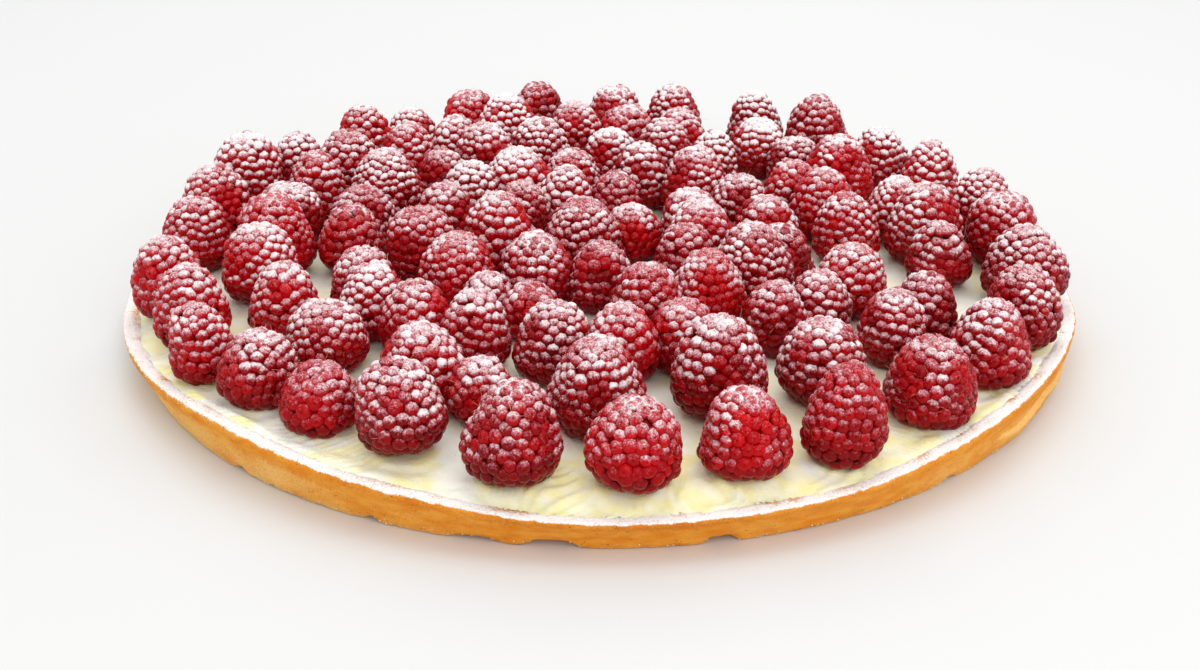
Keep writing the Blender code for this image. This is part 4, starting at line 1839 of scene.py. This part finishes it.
def random_frames(rng: Draws, count: int) -> Array:
    """Random right-handed frames: the columns of turned random matrices.

    Args:
        rng: Random numbers.
        count: How many frames.

    Returns:
        One three by three matrix for each.
    """
    first = rng.normal(size=(count, 3))
    first /= np.linalg.norm(first, axis=1)[:, None]
    second = np.cross(first, rng.normal(size=(count, 3)))
    second /= np.linalg.norm(second, axis=1)[:, None]
    return np.stack([first, second, np.cross(first, second)], axis=1)


def spots_on(
    pieces: list[Piece], label: str, low: float, high: float, least_up: float
) -> tuple[Array, Array]:
    """Points of pieces where a field lies between two values and the surface faces up far enough.

    Args:
        pieces: The pieces.
        label: Name of the field.
        low: The field's lowest value.
        high: Its highest value.
        least_up: How far the surface must face up, from -1 to 1.

    Returns:
        The points and their normals.
    """
    points, normals = [], []
    for piece in pieces:
        values, facing = mesh_field(piece, label), mesh_normals(piece)
        keep = (values > low) & (values < high) & (facing[:, 2] > least_up)
        points.append(mesh_points(piece)[keep])
        normals.append(facing[keep])
    return np.concatenate(points), np.concatenate(normals)


@dataclass
class SugarGrains:
    """Loose clumps of icing sugar: tiny eight-sided grains on the berries, the cream and the rim."""

    on_berries: int = 13000
    on_cream: int = 6500
    on_crust: int = 3500
    size: Span = (0.07 * MM, 0.19 * MM)
    drift: float = 0.18 * MM
    lift: float = 0.03 * MM
    least_up: float = 0.1
    seed: int = 900

    @staticmethod
    def template() -> tuple[Array, list[Array]]:
        """One grain: an octahedron.

        Returns:
            Its six points and its eight faces.
        """
        points = np.array([[1, 0, 0], [-1, 0, 0], [0, 1, 0], [0, -1, 0], [0, 0, 1], [0, 0, -1]], dtype=float)
        faces = np.array([
            [0, 2, 4], [2, 1, 4], [1, 3, 4], [3, 0, 4], [2, 0, 5], [1, 2, 5], [3, 1, 5], [0, 3, 5],
        ])
        return points, [faces]

    def places(
        self, pieces: list[Piece], count: int, least: float, label: str, rng: Draws
    ) -> Array:
        """Draws places on pieces where a field is at least a given value.

        Args:
            pieces: Pieces to lie on.
            count: How many places.
            least: Lowest value of the field.
            label: Name of the field.
            rng: Random numbers.

        Returns:
            The places, a hair above the surface.
        """
        points, normals = spots_on(pieces, label, least, math.inf, self.least_up)
        chosen = rng.integers(0, len(points), count)
        drift = rng.normal(0.0, self.drift, (count, 3))
        drift -= np.sum(drift * normals[chosen], axis=1)[:, None] * normals[chosen]
        return points[chosen] + drift + self.lift * normals[chosen]

    def build(
        self, berries: list[Piece], cream: Piece, crust: Piece
    ) -> Piece:
        """Builds all grains as one piece.

        Args:
            berries: The berry pieces.
            cream: The cream.
            crust: The crust.

        Returns:
            The piece.
        """
        rng = np.random.default_rng(self.seed)
        centres = np.concatenate([
            self.places(berries, self.on_berries, 0.3, "sugar", rng),
            self.places([cream], self.on_cream, -1.0, "bare", rng),
            self.places([crust], self.on_crust, 0.2, "sugar", rng),
        ])
        sizes = rng.uniform(*self.size, (len(centres), 3))
        axes = random_frames(rng, len(centres)) * sizes[..., None]
        finish = PlainFinish("loose_icing_sugar", paint(252, 248, 246), paint(240, 234, 232), 0.9)
        piece = copies(*self.template(), centres, axes).object("sugar_grains", finish.material())
        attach(piece, BODY)
        report(piece)
        return piece


@dataclass
class BerryHairs:
    """Fine pale hairs that stand out from the clefts of the berries, each a thin curved spike."""

    each: int = 9
    length: Span = (1.2 * MM, 2.6 * MM)
    thickness: float = 0.055 * MM
    narrowing: float = 0.7
    sway: Span = (0.2, 0.8)
    joints: int = 5
    sides: int = 3
    root_rise: Span = (0.35, 0.85)
    least_up: float = -0.35
    seed: int = 1300

    def build(self, berries: list[Piece], count: int) -> Piece:
        """Builds all hairs as one piece: rings of three points along an arc that narrow to an end.

        Args:
            berries: The berry pieces.
            count: How many berries they hold.

        Returns:
            The piece.
        """
        rng = np.random.default_rng(self.seed)
        points, normals = spots_on(berries, "rise", *self.root_rise, self.least_up)
        total = self.each * count
        chosen = rng.integers(0, len(points), total)
        root, out = points[chosen], normals[chosen]
        bend = np.cross(out, rng.normal(size=(total, 3)))
        bend /= np.linalg.norm(bend, axis=1)[:, None]
        length = rng.uniform(*self.length, total)[:, None, None]
        share = np.linspace(0.0, 1.0, self.joints)[None, :, None]
        sway = rng.uniform(*self.sway, total)[:, None, None]
        spine = root[:, None] + length * (share * out[:, None] + sway * share ** 2 * bend[:, None])
        third = np.cross(out, bend)
        around = turns(self.sides)
        ring = np.cos(around)[None, :, None] * bend[:, None] + np.sin(around)[None, :, None] * third[:, None]
        taper = self.thickness * (1.0 - self.narrowing * share)
        grid = spine[:, :, None] + taper[..., None] * ring[:, None]
        index = np.arange(self.joints * self.sides).reshape(self.joints, self.sides)
        quads = np.roll(ring_quads(index)[:, ::-1], 1, axis=1)
        faces = repeated([np.stack([index[0][::-1], index[-1]]), quads], total, index.size)
        finish = PlainFinish("pale_berry_hair", paint(226, 196, 150), paint(200, 150, 110), 0.5)
        piece = Shape(grid.reshape(-1, 3), faces).object("berry_hairs", finish.material())
        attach(piece, BODY)
        report(piece)
        return piece


@dataclass
class Crumbs:
    """Crumbs of pastry on the rim, at the cream's edge and along the lower edge of the side."""

    on_top: int = 140
    below: int = 420
    size: Span = (0.10 * MM, 0.24 * MM)
    uneven: Span = (0.75, 1.2)
    oblong: Span = (0.7, 1.3)
    ring_angles: tuple[float, ...] = (45.0, 90.0, 135.0)
    sides: int = 5
    ends: Span = (0.9, -0.85)
    top_from: float = 123.5 * MM
    low_from: float = 124.0 * MM
    low_heights: Span = (0.45 * MM, 2.2 * MM)
    lift: float = 0.05 * MM
    seed: int = 1700

    def template(self, rng: Draws) -> tuple[Array, list[Array]]:
        """One crumb: three uneven rings of five points between two ends.

        Args:
            rng: Random numbers for its unevenness.

        Returns:
            Its points and its faces.
        """
        polar = np.radians(self.ring_angles)[:, None]
        uneven = rng.uniform(*self.uneven, (polar.size, self.sides))
        rings = ring_points(uneven * np.sin(polar), turns(self.sides), np.cos(polar))
        shape = turned_shape(rings, {}, np.array([[0.0, 0.0, end] for end in self.ends]), {})
        return shape.points, shape.faces

    def build(self, crust: Piece) -> Piece:
        """Builds all crumbs as one piece.

        Args:
            crust: The crust that they lie on.

        Returns:
            The piece.
        """
        rng = np.random.default_rng(self.seed)
        points, normals = mesh_points(crust), mesh_normals(crust)
        radius, height = np.hypot(points[:, 0], points[:, 1]), points[:, 2]
        lowest, highest = self.low_heights
        top = (radius > self.top_from) & (normals[:, 2] > 0.4)
        low = (radius > self.low_from) & (height < highest) & (height > lowest)
        chosen = np.concatenate([
            rng.choice(np.flatnonzero(top), self.on_top), rng.choice(np.flatnonzero(low), self.below)
        ])
        sizes = rng.uniform(*self.size, (len(chosen), 1)) * rng.uniform(*self.oblong, (len(chosen), 3))
        axes = random_frames(rng, len(chosen)) * sizes[..., None]
        finish = PlainFinish("pastry_crumbs", paint(248, 222, 170), paint(232, 184, 116), 0.85)
        shape = copies(*self.template(rng), points[chosen] + self.lift * normals[chosen], axes)
        piece = shape.object("pastry_crumbs", finish.material())
        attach(piece, BODY)
        report(piece)
        return piece


# ---------------------------------------------------------------- floor, light and camera

@dataclass(frozen=True)
class Softbox:
    """A square soft light that faces the tart: its place, the length of its side, its power in watts."""

    name: str
    place: tuple[float, float, float]
    size: float
    power: float

    def hang(self) -> None:
        """Adds the light."""
        data = bpy.data.lights.new(self.name, "AREA")
        data.size = self.size
        data.energy = self.power
        lamp = bpy.data.objects.new(self.name, data)
        lamp.location = self.place
        lamp.rotation_euler = (-Vector(self.place)).to_track_quat("-Z", "Y").to_euler()
        bpy.context.scene.collection.objects.link(lamp)


@dataclass
class Studio:
    """A pale floor, soft light from above and behind, and the camera."""

    floor_size: float = 24.0
    camera_place: tuple[float, float, float] = (0.0, -0.38209, 0.17439)
    camera_tilt: float = 64.15
    camera_roll: float = 0.458
    lens: float = 43.57
    horizon: float = 0.49
    zenith: float = 0.96
    floor_colour: tuple[Colour, Colour] = (paint(217, 218, 217), paint(219, 220, 219))
    softboxes: tuple[Softbox, ...] = (
        Softbox("overhead_softbox", (0.05, 0.40, 0.95), 1.3, 6.0),
        Softbox("front_fill", (0.30, -0.90, 0.65), 0.8, 4.2),
    )

    def floor(self) -> None:
        """Lays a large pale floor under the tart."""
        half = self.floor_size / 2.0
        points = np.array([[-half, -half, 0.0], [half, -half, 0.0], [half, half, 0.0], [-half, half, 0.0]])
        sketch = Sketch("pale_floor")
        colour = sketch.blend(sketch.noise(0.4), *self.floor_colour)
        material = sketch.surface(colour, 0.6, Specular_IOR_Level=0.2)
        floor = Shape(points, [np.array([[0, 1, 2, 3]])]).object("floor", material)

    def world(self) -> None:
        """White light from all round that is strongest overhead and weakest near the horizon."""
        world = bpy.data.worlds.new("studio_air")
        world.use_nodes = True
        nodes, links = world.node_tree.nodes, world.node_tree.links
        air = nodes["Background"]
        place = nodes.new("ShaderNodeTexCoord")
        split = nodes.new("ShaderNodeSeparateXYZ")
        rise = nodes.new("ShaderNodeMapRange")
        rise.interpolation_type = "SMOOTHSTEP"
        limits = {"From Min": -0.1, "From Max": 0.9, "To Min": self.horizon, "To Max": self.zenith}
        for name, value in limits.items():
            rise.inputs[name].default_value = value
        links.new(place.outputs["Generated"], split.inputs["Vector"])
        links.new(split.outputs["Z"], rise.inputs["Value"])
        links.new(rise.outputs["Result"], air.inputs["Strength"])
        air.inputs["Color"].default_value = (1.0, 1.0, 1.0, 1.0)
        bpy.context.scene.world = world
        bpy.context.scene.view_settings.view_transform = "Standard"

    def camera(self) -> None:
        """Sets the camera: looking along +Y and down."""
        data = bpy.data.cameras.new("camera")
        data.lens = self.lens
        data.sensor_width = 36.0
        data.clip_start = 0.01
        camera = bpy.data.objects.new("camera", data)
        tilt = Matrix.Rotation(math.radians(self.camera_tilt), 4, "X")
        roll = Matrix.Rotation(math.radians(self.camera_roll), 4, "Z")
        camera.matrix_world = Matrix.Translation(self.camera_place) @ tilt @ roll
        bpy.context.scene.collection.objects.link(camera)
        bpy.context.scene.camera = camera

    def build(self) -> None:
        """Sets up everything that isn't the tart."""
        self.floor()
        self.world()
        for softbox in self.softboxes:
            softbox.hang()
        self.camera()


def main() -> None:
    """Builds the tart piece by piece, then the studio round it."""
    raspberries = Raspberries()
    fruit = raspberries.build()
    standing = [berry for run in raspberries.rings.runs().values() for berry in run]
    cream = Cream(standing).build()
    crust = Crust().build()
    SugarGrains().build(list(fruit.values()), cream, crust)
    BerryHairs().build(list(fruit.values()), len(standing))
    Crumbs().build(crust)
    Studio().build()
    bpy.context.view_layer.update()


if __name__ == "__main__":
    logging.basicConfig(level=logging.INFO, format="%(message)s")
    main()
